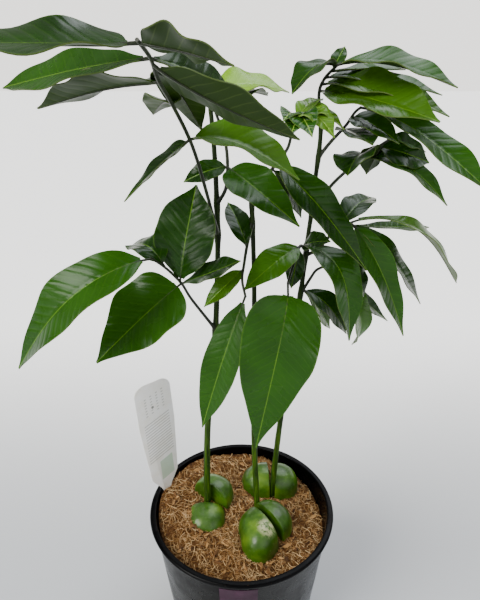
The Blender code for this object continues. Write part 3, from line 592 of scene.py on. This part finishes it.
def tag_material():
    """White sheet polystyrene with faint ruled lines and a pale green block."""
    made, tree, shader = new_material("white polystyrene sheet", {
        "IOR": 1.55, "Roughness": 0.42})
    place = add_node(tree, "Attribute", attribute_name="plate").outputs["Vector"]
    across, up, face = add_node(tree, "SeparateXYZ", {0: place}).outputs
    slanted = math_node(tree, "MULTIPLY_ADD", across, TAG_LINE_SLANT, up)
    row = math_node(tree, "PINGPONG", math_node(tree, "DIVIDE", slanted, TAG_LINE_PITCH), 0.5)
    line = band(tree, row, 0.14, 0.22, 1.0, 0.0)
    ruled = between(tree, slanted, *TAG_LINES)
    broken = math_node(tree, "PINGPONG", math_node(tree, "DIVIDE", across, TAG_DASH_PITCH), 0.5)
    dashes = math_node(tree, "MULTIPLY", between(tree, slanted, *TAG_DASHES),
                       band(tree, broken, 0.3, 0.35))
    inside = math_node(tree, "ADD", ruled, dashes)
    side = between(tree, across, *TAG_LINE_SPAN)
    ink = math_node(tree, "MULTIPLY", math_node(tree, "MULTIPLY", line, inside), side)
    spot = add_node(tree, "VectorMath", {0: place, 1: (*TAG_MARK, 1)},
                    operation="DISTANCE").outputs["Value"]
    spot = band(tree, spot, TAG_MARK_RADIUS * 0.7, TAG_MARK_RADIUS, 1.0, 0.0)
    ink = math_node(tree, "MAXIMUM", math_node(tree, "MULTIPLY", ink, 0.55), spot)
    grain = band(tree, object_noise(tree, 12), 0.3, 0.7)
    skin = mix_colours(tree, grain, linear("f6f4ee"), linear("ffffff"))
    skin = lay_on(tree, skin, ink, face, "85857f")
    block = math_node(tree, "MULTIPLY", between(tree, slanted, *TAG_BLOCK),
                      between(tree, across, *TAG_BLOCK_SPAN))
    skin = lay_on(tree, skin, math_node(tree, "MULTIPLY", block, face), 0.6, "9fc7a4")
    finish_skin(tree, shader, skin)
    bump(tree, shader, object_noise(tree, 1.0), 0.02)
    return made


def label_material():
    """Coated paper printed plum, in tones that vary at random."""
    made, tree, shader = new_material("plum coated paper", {
        "IOR": 1.5, "Specular IOR Level": 0.2})
    tone = object_noise(tree, 10, 4.0)
    skin = add_node(tree, "ValToRGB", {0: tone}, ramp=[
        (0.3, "2c1526"), (0.6, "3a1e32"), (0.85, "4a2a40")]).outputs[0]
    finish_skin(tree, shader, skin, band(tree, object_noise(tree, 6), 0.3, 0.7, 0.32, 0.48))
    bump(tree, shader, object_noise(tree, 0.6, 3.0), 0.03)
    return made


def floor_material():
    """Pale matt floor that whitens and glows towards the back: painted light, not a lamp."""
    made, tree, shader = new_material("pale matt floor", {"Roughness": 0.7})
    place = add_node(tree, "TexCoord").outputs["Object"]
    back = add_node(tree, "SeparateXYZ", {0: place}).outputs["Y"]
    # Painted light: paler and glowing further back.
    tone = band(tree, back, *FLOOR_PAINTED_GLOW_SPAN)
    skin = mix_colours(tree, tone, linear("c2c5c8"), linear("ffffff"))
    finish_skin(tree, shader, skin)
    shader.inputs["Emission Color"].default_value = linear("f4f3ee")
    tree.links.new(math_node(tree, "MULTIPLY", tone, FLOOR_GLOW),
                   shader.inputs["Emission Strength"])
    return made


def add_piece(name, mesh, finishes, slot=None):
    """A mesh as an object with its materials."""
    item = bpy.data.objects.new(name, mesh)
    bpy.context.scene.collection.objects.link(item)
    for finish in finishes:
        mesh.materials.append(finish)
    if slot:
        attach(item, "root")
    return item


def to_mesh(name, bm, sharp=SMOOTH_ANGLE):
    """A bmesh as a smooth-shaded mesh."""
    mesh = bpy.data.meshes.new(name)
    bm.to_mesh(mesh)
    bm.free()
    mesh.shade_smooth()
    mesh.set_sharp_from_angle(angle=math.radians(sharp))
    return mesh


def unit(vector):
    """A vector of length one."""
    return vector / np.linalg.norm(vector)


def rows_unit(vectors):
    """Each row made length one."""
    return vectors / np.linalg.norm(vectors, axis=1)[:, None]


def lengths(path):
    """The length of a path up to each of its points."""
    return np.concatenate([[0], np.cumsum(np.linalg.norm(np.diff(path, axis=0), axis=1))])


def smooth_path(points, segments):
    """Points at equal steps along a smooth curve through the given points."""
    points = np.asarray(points, float)
    ends = np.vstack([2 * points[0] - points[1], points, 2 * points[-1] - points[-2]])
    fine = []
    for i in range(1, len(ends) - 2):
        before, start, end, after = ends[i - 1:i + 3]
        for k in range(CURVE_STEPS):
            t = k / CURVE_STEPS
            fine.append(0.5 * (2 * start + (end - before) * t
                               + (2 * before - 5 * start + 4 * end - after) * t ** 2
                               + (3 * start - before - 3 * end + after) * t ** 3))
    fine.append(points[-1])
    fine = np.array(fine)
    reach = lengths(fine)
    wanted = np.linspace(0, reach[-1], segments + 1)
    return np.column_stack([np.interp(wanted, reach, fine[:, k]) for k in range(3)])


def along_path(path, share):
    """The point at a share of a path's length."""
    reach = lengths(path)
    return np.array([np.interp(share * reach[-1], reach, path[:, k]) for k in range(3)])


def evaluated_mesh(item):
    """A new mesh of an object with its modifiers applied."""
    bpy.context.view_layer.update()
    graph = bpy.context.evaluated_depsgraph_get()
    return bpy.data.meshes.new_from_object(item.evaluated_get(graph), depsgraph=graph)


def tubes_mesh(name, tubes, sides):
    """Round bars, each given as points and a radius at each, as one mesh."""
    curve = bpy.data.curves.new(name, "CURVE")
    curve.dimensions = "3D"
    curve.bevel_depth = 1.0
    curve.bevel_resolution = max(sides // 2 - 2, 0)
    curve.use_fill_caps = True
    for points, radii in tubes:
        spline = curve.splines.new("POLY")
        spline.points.add(len(points) - 1)
        flat = np.column_stack([points, np.ones(len(points))])
        spline.points.foreach_set("co", flat.ravel())
        spline.points.foreach_set("radius", np.asarray(radii, float))
    item = bpy.data.objects.new(name, curve)
    bpy.context.scene.collection.objects.link(item)
    mesh = evaluated_mesh(item)
    bpy.data.objects.remove(item, do_unlink=True)
    bpy.data.curves.remove(curve)
    bm = bmesh.new()
    bm.from_mesh(mesh)
    bpy.data.meshes.remove(mesh)
    bmesh.ops.remove_doubles(bm, verts=bm.verts, dist=MERGE)
    bmesh.ops.recalc_face_normals(bm, faces=bm.faces)
    return to_mesh(name, bm)


def stem_path(stem):
    """A stem's middle line in metres, and its radius at each point."""
    path = smooth_path(stem.points, STEM_SEGMENTS) * MM
    radii = np.linspace(stem.foot, stem.top, len(path)) * MM
    return path, radii


def stem_at(stem, height):
    """The middle of a stem at a height in mm."""
    path, _ = stem_path(stem)
    level = height * MM
    return np.array([np.interp(level, path[:, 2], path[:, k]) for k in range(2)] + [level])


def add_stem(name, stem, bark):
    """A seedling's stem, swollen a little where fronds leave it."""
    path, radii = stem_path(stem)
    swell = np.zeros(len(path))
    for frond in FRONDS.values():
        if STEMS[frond.stem] is stem:
            away = (path[:, 2] - frond.height * MM) / NODE_LENGTH
            swell = np.maximum(swell, NODE_SWELL * np.exp(-away ** 2))
    grain = np.array([noise.noise(Vector(point) / STEM_GRAIN) for point in path])
    radii = radii * (1 + swell + STEM_UNEVEN * grain)
    mesh = tubes_mesh(name, [(path, radii)], STEM_SIDES)
    item = add_piece(f"{name}_bark", mesh, [bark], "stem")
    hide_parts(name)


def revolve(profile, sides):
    """A line of (radius, height) points from axis to axis, turned into a solid."""
    bm = bmesh.new()
    corners = [bm.verts.new((radius, 0, height)) for radius, height in profile]
    edges = [bm.edges.new(pair) for pair in zip(corners, corners[1:])]
    bmesh.ops.spin(bm, geom=corners + edges, cent=(0, 0, 0), axis=(0, 0, 1),
                   angle=2 * math.pi, steps=sides, use_merge=True)
    bmesh.ops.remove_doubles(bm, verts=bm.verts, dist=MERGE)
    bmesh.ops.recalc_face_normals(bm, faces=bm.faces)
    return bm


def pot_outside(height):
    """The pot's outer radius at a height, below its rim."""
    share = height / (POT_HEIGHT - RIM_DEPTH)
    return POT_FOOT_RADIUS + share * (POT_NECK_RADIUS - POT_FOOT_RADIUS)


def wall_inside(height):
    """The pot's inner radius at a height."""
    neck = POT_NECK_RADIUS - POT_WALL
    foot = pot_outside(POT_FLOOR) - POT_WALL
    share = (height - POT_FLOOR) / (POT_HEIGHT - RIM_EDGE - POT_FLOOR)
    return foot + share * (neck - foot)


def arc(middle, radius, start, end, steps):
    """Points of a round corner of a profile, angles in degrees."""
    turns = [math.radians(start + (end - start) * i / steps) for i in range(steps + 1)]
    return [(middle[0] + radius * math.cos(turn), middle[1] + radius * math.sin(turn))
            for turn in turns]


def add_pot(finish):
    """The nursery pot with its rolled lip, a shoulder under it and drain holes."""
    neck = POT_HEIGHT - RIM_DEPTH
    lip = POT_RIM_RADIUS - RIM_ROLL
    inside = POT_NECK_RADIUS - POT_WALL + RIM_EDGE
    profile = [(0, HOLLOW_DEPTH), (HOLLOW_RADIUS, HOLLOW_DEPTH),
               (HOLLOW_RADIUS + HOLLOW_SLOPE, 0)]
    profile += arc((POT_FOOT_RADIUS - FOOT_EDGE, FOOT_EDGE), FOOT_EDGE, -90, 0, 4)
    for above, step in ((-FOOT_GROOVE, 0), (0, FOOT_GROOVE_DEPTH), (FOOT_GROOVE, 0)):
        level = FOOT_LEVEL + above
        profile.append((pot_outside(level) - step, level))
    profile += [(POT_NECK_RADIUS, neck - SHOULDER_DROP),
                (POT_NECK_RADIUS + SHOULDER_WIDTH, neck)]
    profile += arc((lip, neck + RIM_EDGE), RIM_EDGE, -90, 0, 5)
    profile += arc((lip, POT_HEIGHT - RIM_ROLL), RIM_ROLL, 0, 90, 7)
    profile += arc((inside, POT_HEIGHT - RIM_EDGE), RIM_EDGE, 90, 180, 5)
    profile += [(wall_inside(POT_FLOOR), POT_FLOOR), (0, POT_FLOOR)]
    bm = revolve(profile, POT_SIDES)
    pot = add_piece("pot_shell", to_mesh("pot_shell", bm, sharp=35), [finish], "pot")
    cutter = bmesh.new()
    for i in range(DRAIN_HOLES):
        turn = 2 * math.pi * i / DRAIN_HOLES
        middle = Vector((math.cos(turn), math.sin(turn), 0)) * DRAIN_RING_RADIUS
        bmesh.ops.create_cone(cutter, cap_ends=True, segments=DRAIN_SIDES,
                              radius1=DRAIN_HOLE_RADIUS, radius2=DRAIN_HOLE_RADIUS,
                              depth=DRAIN_CUT, matrix=Matrix.Translation(middle))
    holes = add_piece("drain_cutter", to_mesh("drain_cutter", cutter), [])
    boolean = pot.modifiers.new("Drain", "BOOLEAN")
    boolean.operation = "DIFFERENCE"
    boolean.object = holes
    mesh = evaluated_mesh(pot)
    pot.modifiers.clear()
    pot.data = mesh
    bpy.data.objects.remove(holes, do_unlink=True)
    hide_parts("pot")


def mix_level(x, y):
    """Height of the potting mix at a place."""
    short, cross, wide = BUMP_LENGTHS
    bumps = math.sin(x / short) * math.cos(y / cross + 1) + math.sin((x + y) / wide)
    return MIX_LEVEL - MIX_RISE_LEFT * x + MIX_RISE_BACK * y + MIX_BUMP * bumps


def rough_level(x, y):
    """Height of the mix's crumbly surface at a place."""
    place = Vector((x, y, 0)) / MIX_LUMP
    lumps = noise.fractal(place, *MIX_FRACTAL)
    return mix_level(x, y) + MIX_ROUGHNESS * lumps


def add_potting_mix(finish):
    """The bed of coir with a crumbly top."""
    bm = bmesh.new()
    foot = POT_FLOOR + MIX_GAP
    shape = bmesh.ops.create_circle(bm, cap_ends=False, segments=MIX_SECTORS,
                                    radius=wall_inside(foot) - MIX_GAP)
    bmesh.ops.translate(bm, verts=shape["verts"], vec=(0, 0, foot))
    floor = bm.faces.new(shape["verts"])
    edges = list(floor.edges)
    for ring in range(MIX_RINGS):
        raised = bmesh.ops.extrude_edge_only(bm, edges=edges)["geom"]
        verts = [part for part in raised if isinstance(part, bmesh.types.BMVert)]
        edges = [part for part in raised if isinstance(part, bmesh.types.BMEdge)]
        share = 1 - ring / MIX_RINGS
        for vert in verts:
            angle = math.atan2(vert.co.y, vert.co.x)
            reach = (wall_inside(MIX_LEVEL) - 2 * MIX_GAP) * share
            x, y = reach * math.cos(angle), reach * math.sin(angle)
            vert.co = (x, y, rough_level(x, y))
    bmesh.ops.contextual_create(bm, geom=edges)
    bmesh.ops.recalc_face_normals(bm, faces=bm.faces)
    item = add_piece("coir_bed", to_mesh("coir_bed", bm, sharp=180), [finish], "potting_mix")
    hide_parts("potting_mix")


def random_place(draw, margin):
    """A place on the mix, evenly spread."""
    reach = (wall_inside(MIX_LEVEL) - margin) * math.sqrt(draw.random())
    turn = draw.random() * 2 * math.pi
    return reach * math.cos(turn), reach * math.sin(turn)


def add_fibres(finish):
    """Loose coir strands lying on the mix, some standing up a little."""
    draw = random.Random(FIBRE_DRAWS)
    most = wall_inside(MIX_LEVEL) - WALL_MARGIN
    tubes = []
    for _ in range(FIBRES):
        x, y = random_place(draw, 2 * WALL_MARGIN)
        length = draw.uniform(*FIBRE_LENGTH) * draw.uniform(0.5, 1) * MM
        turn = draw.random() * 2 * math.pi
        bend = draw.gauss(0, FIBRE_BEND)
        lift = draw.uniform(*FIBRE_LIFT) * MM
        tilt = draw.gauss(0, FIBRE_TILT)
        points = []
        for k in range(FIBRE_POINTS):
            run = length * (k / (FIBRE_POINTS - 1) - 0.5)
            way = turn + bend * run / length * 2
            px, py = x + run * math.cos(way), y + run * math.sin(way)
            out = math.hypot(px, py)
            if out > most:
                px, py = px * most / out, py * most / out
            points.append((px, py, rough_level(px, py) + lift + tilt * run))
        radius = draw.uniform(*FIBRE_RADIUS) * draw.uniform(0.6, 1) * MM
        tubes.append((np.array(points), np.full(FIBRE_POINTS, radius)))
    add_piece("coir_strands", tubes_mesh("coir_strands", tubes, FIBRE_SIDES), [finish],
              "potting_mix")


def add_chips(finish):
    """Crumbs of husk and bark among the strands."""
    draw = random.Random(CHIP_DRAWS)
    bm = bmesh.new()
    for _ in range(CHIPS):
        x, y = random_place(draw, 3 * WALL_MARGIN)
        size = draw.uniform(*CHIP_SIZE) * MM
        stretch = Vector([draw.uniform(*span) for span in CHIP_STRETCH])
        turn = Matrix.Rotation(draw.random() * 2 * math.pi, 3, "Z")
        tip = Matrix.Rotation(draw.gauss(0, CHIP_TIP), 3, "X")
        verts = bmesh.ops.create_icosphere(bm, subdivisions=1, radius=1.0)["verts"]
        middle = Vector((x, y, rough_level(x, y) + CHIP_RISE * size))
        for vert in verts:
            jag = 1 + CHIP_JAG * draw.uniform(-1, 1)
            vert.co = middle + turn @ tip @ (vert.co * stretch * jag * size)
    add_piece("husk_crumbs", to_mesh("husk_crumbs", bm, sharp=20), [finish], "potting_mix")


def add_seed_half(name, half, finish):
    """One half of a seed: a full round side on a flat face with a soft rim."""
    length, height, thick = (size * MM for size in half.size)
    bm = bmesh.new()
    bmesh.ops.create_uvsphere(bm, u_segments=SEED_ROUNDS, v_segments=SEED_RINGS, radius=1.0)
    beak_side = math.radians(half.beak_heading - half.heading)
    for vert in bm.verts:
        x, y, z = vert.co
        toward = max(0.0, math.cos(math.atan2(y, x) - beak_side))
        beak = 1 + half.beak * toward ** BEAK_SHARPNESS * (1 - z * z)
        reach = sum(abs(share) ** SEED_SQUARENESS for share in (x, y, z))
        full = reach ** (-1 / SEED_SQUARENESS) * beak
        vert.co = Vector((x * thick, y * length, z * height)) * full
        dimple = noise.fractal(vert.co / SEED_DIMPLE_SPAN + Vector(half.face), *SEED_FRACTAL)
        vert.co *= 1 + dimple * SEED_DIMPLE / vert.co.length
    behind = half.behind * thick
    bmesh.ops.bisect_plane(bm, geom=bm.verts[:] + bm.edges[:] + bm.faces[:],
                           plane_co=(-behind, 0, 0), plane_no=(1, 0, 0), clear_inner=True,
                           dist=MERGE)
    bmesh.ops.translate(bm, verts=bm.verts, vec=(behind, 0, 0))
    rim = [edge for edge in bm.edges if edge.is_boundary]
    bmesh.ops.holes_fill(bm, edges=rim, sides=0)
    bmesh.ops.bevel(bm, geom=rim, offset=SEED_RIM, segments=4, profile=0.5,
                    affect="EDGES", material=-1)
    turn = Matrix.Rotation(math.radians(half.heading), 3, "Z")
    bmesh.ops.rotate(bm, verts=bm.verts, cent=(0, 0, 0), matrix=turn)
    bmesh.ops.translate(bm, verts=bm.verts, vec=Vector(half.face) * MM)
    bmesh.ops.recalc_face_normals(bm, faces=bm.faces)
    skin = f"seed_skin_{name}"
    item = add_piece(skin, to_mesh(skin, bm, sharp=50), [finish], "seed")
    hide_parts(f"seed_half_{name}")


def blade_width(share):
    """Half width of leaflets, from 0 to 1, at shares of their length past the stalk."""
    along, wide = zip(*BLADE_OUTLINE)
    return np.mean([np.interp(share + shift, along, wide) for shift in OUTLINE_SOFTENING],
                   axis=0)


def midrib_line(base, leaflet):
    """The midrib as a function of the share of a leaflet's length, and its directions."""
    tip = np.array(leaflet.tip, float) * MM
    length = np.linalg.norm(tip - base)
    along = (tip - base) / length
    face = np.array(leaflet.face, float)
    up = unit(face - along * (face @ along))
    side = np.cross(along, up)

    def midrib(share):
        rise = np.sin(math.pi * share ** leaflet.skew) * leaflet.arch * length
        return base + np.outer(share, tip - base) + np.outer(rise, up)

    return midrib, side, length


def blade_surface(base, leaflet, share, across, young):
    """Points, upward normals and (mm along, mm across) of a leaflet's middle surface."""
    midrib, side, length = midrib_line(base, leaflet)
    ahead = np.minimum(share + SLOPE_STEP, 1.0)
    behind = np.maximum(share - SLOPE_STEP, 0.0)
    heading = rows_unit(midrib(ahead) - midrib(behind))
    turn = np.radians(leaflet.twist) * (share - 0.5)
    level = np.cross(side, heading)
    sides = side * np.cos(turn)[:, None] + level * np.sin(turn)[:, None]
    normal = np.cross(sides, heading)
    half = leaflet.width * MM / 2
    blade_share = np.maximum(0.0, (share - STALK_SHARE) / (1 - STALK_SHARE))
    wide = half * blade_width(blade_share ** leaflet.blunt)
    least = np.where(share > 0.5, TIP_WIDTH, STALK_WIDTH) / 2
    reach = np.maximum(wide, least)
    full = np.minimum(1.0, wide / half)
    shift = leaflet.ripple + np.where(across > 0, 0, WAVE_SHIFT)
    wave = np.sin(2 * math.pi * WAVES * share + shift)
    off = np.abs(across)
    lift = leaflet.fold * off * wide
    lift += leaflet.wave * leaflet.width * MM * wave * across ** 2 * full
    lift -= MIDRIB_GROOVE * np.exp(-(off / MIDRIB_SPAN) ** 2) * full
    run = share * length / MM
    phase = (run - VEIN_LEAN * off * reach / MM) / VEIN_SPACING
    pillow = YOUNG_PILLOW if young else PILLOW
    lift += pillow * np.sin(math.pi * phase) ** 2 * off * (1 - off ** 4) * full
    points = midrib(share) + sides * (across * reach)[:, None] + normal * lift[:, None]
    return points, normal, np.column_stack([run, across * reach / MM, off])


def add_blade(bm, layers, base, leaflet, look):
    """One leaflet as a thin blade with its two skins."""
    young = look in YOUNG_LOOKS
    count = len(bm.faces)
    made = bmesh.ops.create_grid(bm, x_segments=BLADE_STEPS, y_segments=BLADE_ACROSS,
                                 size=1.0)
    verts = made["verts"]
    flat = np.array([vert.co[:2] for vert in verts])
    share = (flat[:, 0] + 1) / 2
    crowding = 1 - END_CROWDING + END_CROWDING * np.abs(2 * share - 1)
    share = 0.5 - 0.5 * np.cos(math.pi * share) * crowding
    start = STALK_SHARE * BLADE_OVERLAP
    share = start + (1 - start) * share
    points, _, where = blade_surface(base, leaflet, share, flat[:, 1], young)
    tone = Vector((*LOOKS_WITH_PAINTED_LIGHT[look], 0.0))
    for vert, point, place in zip(verts, points, where):
        vert.co = point
        vert[layers[0]] = Vector(place)
        vert[layers[1]] = tone
    bm.faces.ensure_lookup_table()
    upper = bm.faces[count:]
    bmesh.ops.reverse_faces(bm, faces=upper)
    before = set(bm.faces)
    bmesh.ops.solidify(bm, geom=upper, thickness=BLADE_THICKNESS)
    skin = YOUNG_SKIN if young else 0
    for face in upper:
        face.material_index = skin
    for face in bm.faces:
        if face not in before:
            face.material_index = skin + 1


def leaflet_tubes(base, leaflet):
    """A leaflet's stalk and the rib under its blade, as points and radii."""
    share = np.linspace(0, LAST_RIB, MIDRIB_STEPS)
    middle = np.zeros(len(share))
    points, normals, _ = blade_surface(base, leaflet, share, middle, young=False)
    thick, thin = MIDRIB_RADII
    radii = (thick + (thin - thick) * share) * MM
    stalk = np.clip(1 - share / (STALK_SHARE * STALK_FADE), 0, 1)
    radii += stalk * (STALK_RADIUS * MM - radii)
    drop = BLADE_THICKNESS * RIB_SINK * (1 - stalk)
    return points - normals * drop[:, None], radii


def add_frond(name, frond, finishes):
    """A rachis with its leaflets as one piece."""
    joint = stem_at(STEMS[frond.stem], frond.height)
    points = [tuple(joint / MM)] + frond.rachis
    path = smooth_path(points, RACHIS_SEGMENTS) * MM
    radii = np.linspace(*RACHIS_RADIUS, len(path)) * MM
    away = np.linspace(0, 1, len(path))
    radii *= 1 + KNUCKLE_SWELL * np.exp(-(away / KNUCKLE_LENGTH) ** 2)
    tubes = [(path, radii)]
    bm = bmesh.new()
    layers = [bm.verts.layers.float_vector.new(key) for key in ("blade", "look")]
    for leaflet, look in zip(frond.leaflets, frond.looks):
        base = along_path(path, min(leaflet.at, LAST_STALK))
        add_blade(bm, layers, base, leaflet, look)
        tubes.append(leaflet_tubes(base, leaflet))
    count = len(bm.faces)
    bm.from_mesh(tubes_mesh("stalks", tubes, STALK_SIDES))
    bm.faces.ensure_lookup_table()
    for face in bm.faces[count:]:
        face.material_index = len(LEAF_SKINS)
    mesh = to_mesh(f"foliage_{name}", bm, sharp=75)
    item = add_piece(f"foliage_{name}", mesh, finishes, "leaf")
    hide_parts(f"frond_{name}")


def add_plant_tag(finish):
    """The plant tag: a thin plate with softened edges."""
    side = Vector(TAG_SIDE).normalized()
    rise = Vector(TAG_RISE).normalized()
    front = side.cross(rise).normalized()
    origin = Vector(TAG_ORIGIN) * MM
    outline = TAG_OUTLINE + [(-across, up) for across, up in reversed(TAG_OUTLINE)]
    bm = bmesh.new()
    plate = bm.faces.new([bm.verts.new((across * MM, up * MM, 0)) for across, up in outline])
    raised = bmesh.ops.extrude_face_region(bm, geom=[plate])["geom"]
    far = [part for part in raised if isinstance(part, bmesh.types.BMVert)]
    bmesh.ops.translate(bm, verts=far, vec=(0, 0, TAG_THICKNESS))
    bmesh.ops.recalc_face_normals(bm, faces=bm.faces)
    corners = [edge for edge in bm.edges
               if abs(edge.verts[0].co.z - edge.verts[1].co.z) > TAG_THICKNESS / 2]
    bmesh.ops.bevel(bm, geom=corners, offset=TAG_CORNER, segments=3, profile=0.5,
                    affect="EDGES", material=-1)
    rims = [edge for edge in bm.edges if edge.calc_face_angle(0) > math.radians(60)]
    bmesh.ops.bevel(bm, geom=rims, offset=TAG_EDGE, segments=2, profile=0.5,
                    affect="EDGES", material=-1)
    layer = bm.verts.layers.float_vector.new("plate")
    for vert in bm.verts:
        across, up, deep = vert.co
        is_front = 1.0 if deep > TAG_THICKNESS * 0.7 else 0.0
        vert[layer] = Vector((across / MM, up / MM, is_front))
        vert.co = origin + side * across + rise * up + front * (deep - TAG_THICKNESS / 2)
    item = add_piece("tag_sheet", to_mesh("tag_sheet", bm, sharp=40), [finish], "tag")
    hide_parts("plant_tag")


def add_sun(name, turn, height, spread, power, colour):
    """A broad even light, from a turn clockwise from the back and a height, in degrees."""
    data = bpy.data.lights.new(name, "SUN")
    data.angle = math.radians(spread)
    data.energy = power
    data.color = linear(colour)[:3]
    item = bpy.data.objects.new(name, data)
    item.rotation_euler = (math.radians(90 - height), 0, math.radians(180 - turn))
    bpy.context.scene.collection.objects.link(item)


def add_studio():
    """Floor, broad lights, pale surroundings and the camera."""
    bm = bmesh.new()
    bmesh.ops.create_grid(bm, x_segments=1, y_segments=1, size=FLOOR_HALF)
    floor = add_piece("floor", to_mesh("floor", bm), [floor_material()])
    world = bpy.data.worlds.new("pale room")
    world.use_nodes = True
    tree = world.node_tree
    way = add_node(tree, "TexCoord").outputs["Generated"]
    right, back, rise = add_node(tree, "SeparateXYZ", {0: way}).outputs
    wall = math_node(tree, "MULTIPLY", band(tree, back, *WALL_SPREAD),
                     band(tree, rise, *WALL_TOP, 1.0, 0.0))
    front = math_node(tree, "MULTIPLY", back, -math.cos(WINDOW_TURN))
    front = math_node(tree, "MULTIPLY_ADD", right, -math.sin(WINDOW_TURN), front)
    window = math_node(tree, "MULTIPLY", band(tree, front, *WINDOW_SPREAD),
                       band(tree, rise, *WINDOW_TOP, 1.0, 0.0))
    glow = band(tree, wall, 0.0, 1.0, ROOM_GLOW, WALL_GLOW)
    glow = math_node(tree, "MULTIPLY_ADD", window, WINDOW_GLOW, glow)
    sky = tree.nodes["Background"]
    sky.inputs["Color"].default_value = linear("e6e4e0")
    tree.links.new(glow, sky.inputs["Strength"])
    bpy.context.scene.world = world
    for sun in SUNS:
        add_sun(*sun)
    data = bpy.data.cameras.new("camera")
    data.lens = CAMERA_LENS
    data.sensor_width = CAMERA_SENSOR
    data.sensor_fit = "AUTO"
    data.clip_start = 10 * MM
    camera = bpy.data.objects.new("camera", data)
    camera.location = CAMERA_PLACE
    camera.rotation_euler = (math.radians(CAMERA_TILT), 0, 0)
    bpy.context.scene.collection.objects.link(camera)
    bpy.context.scene.camera = camera


def main():
    """Dresses the whole plant."""
    add_pot(pot_material())
    add_potting_mix(mix_material())
    add_fibres(coir_material("loose coir strands", "3a2413", "a0743f", "f8dca8", 6))
    add_chips(coir_material("husk crumbs", "2c1a0d", "74502c", "c89c62", 3))
    flesh = seed_material()
    for name, half in SEED_HALVES.items():
        add_seed_half(name, half, flesh)
    bark = stem_material()
    for name, stem in STEMS.items():
        add_stem(f"stem_{name}", stem, bark)
    finishes = [leaf_material(*skin) for skin in LEAF_SKINS] + [stalk_material()]
    for name, frond in FRONDS.items():
        add_frond(name, frond, finishes)
    add_plant_tag(tag_material())
    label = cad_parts["pot_label"]
    label.data.materials.clear()
    label.data.materials.append(label_material())
    add_studio()


main()
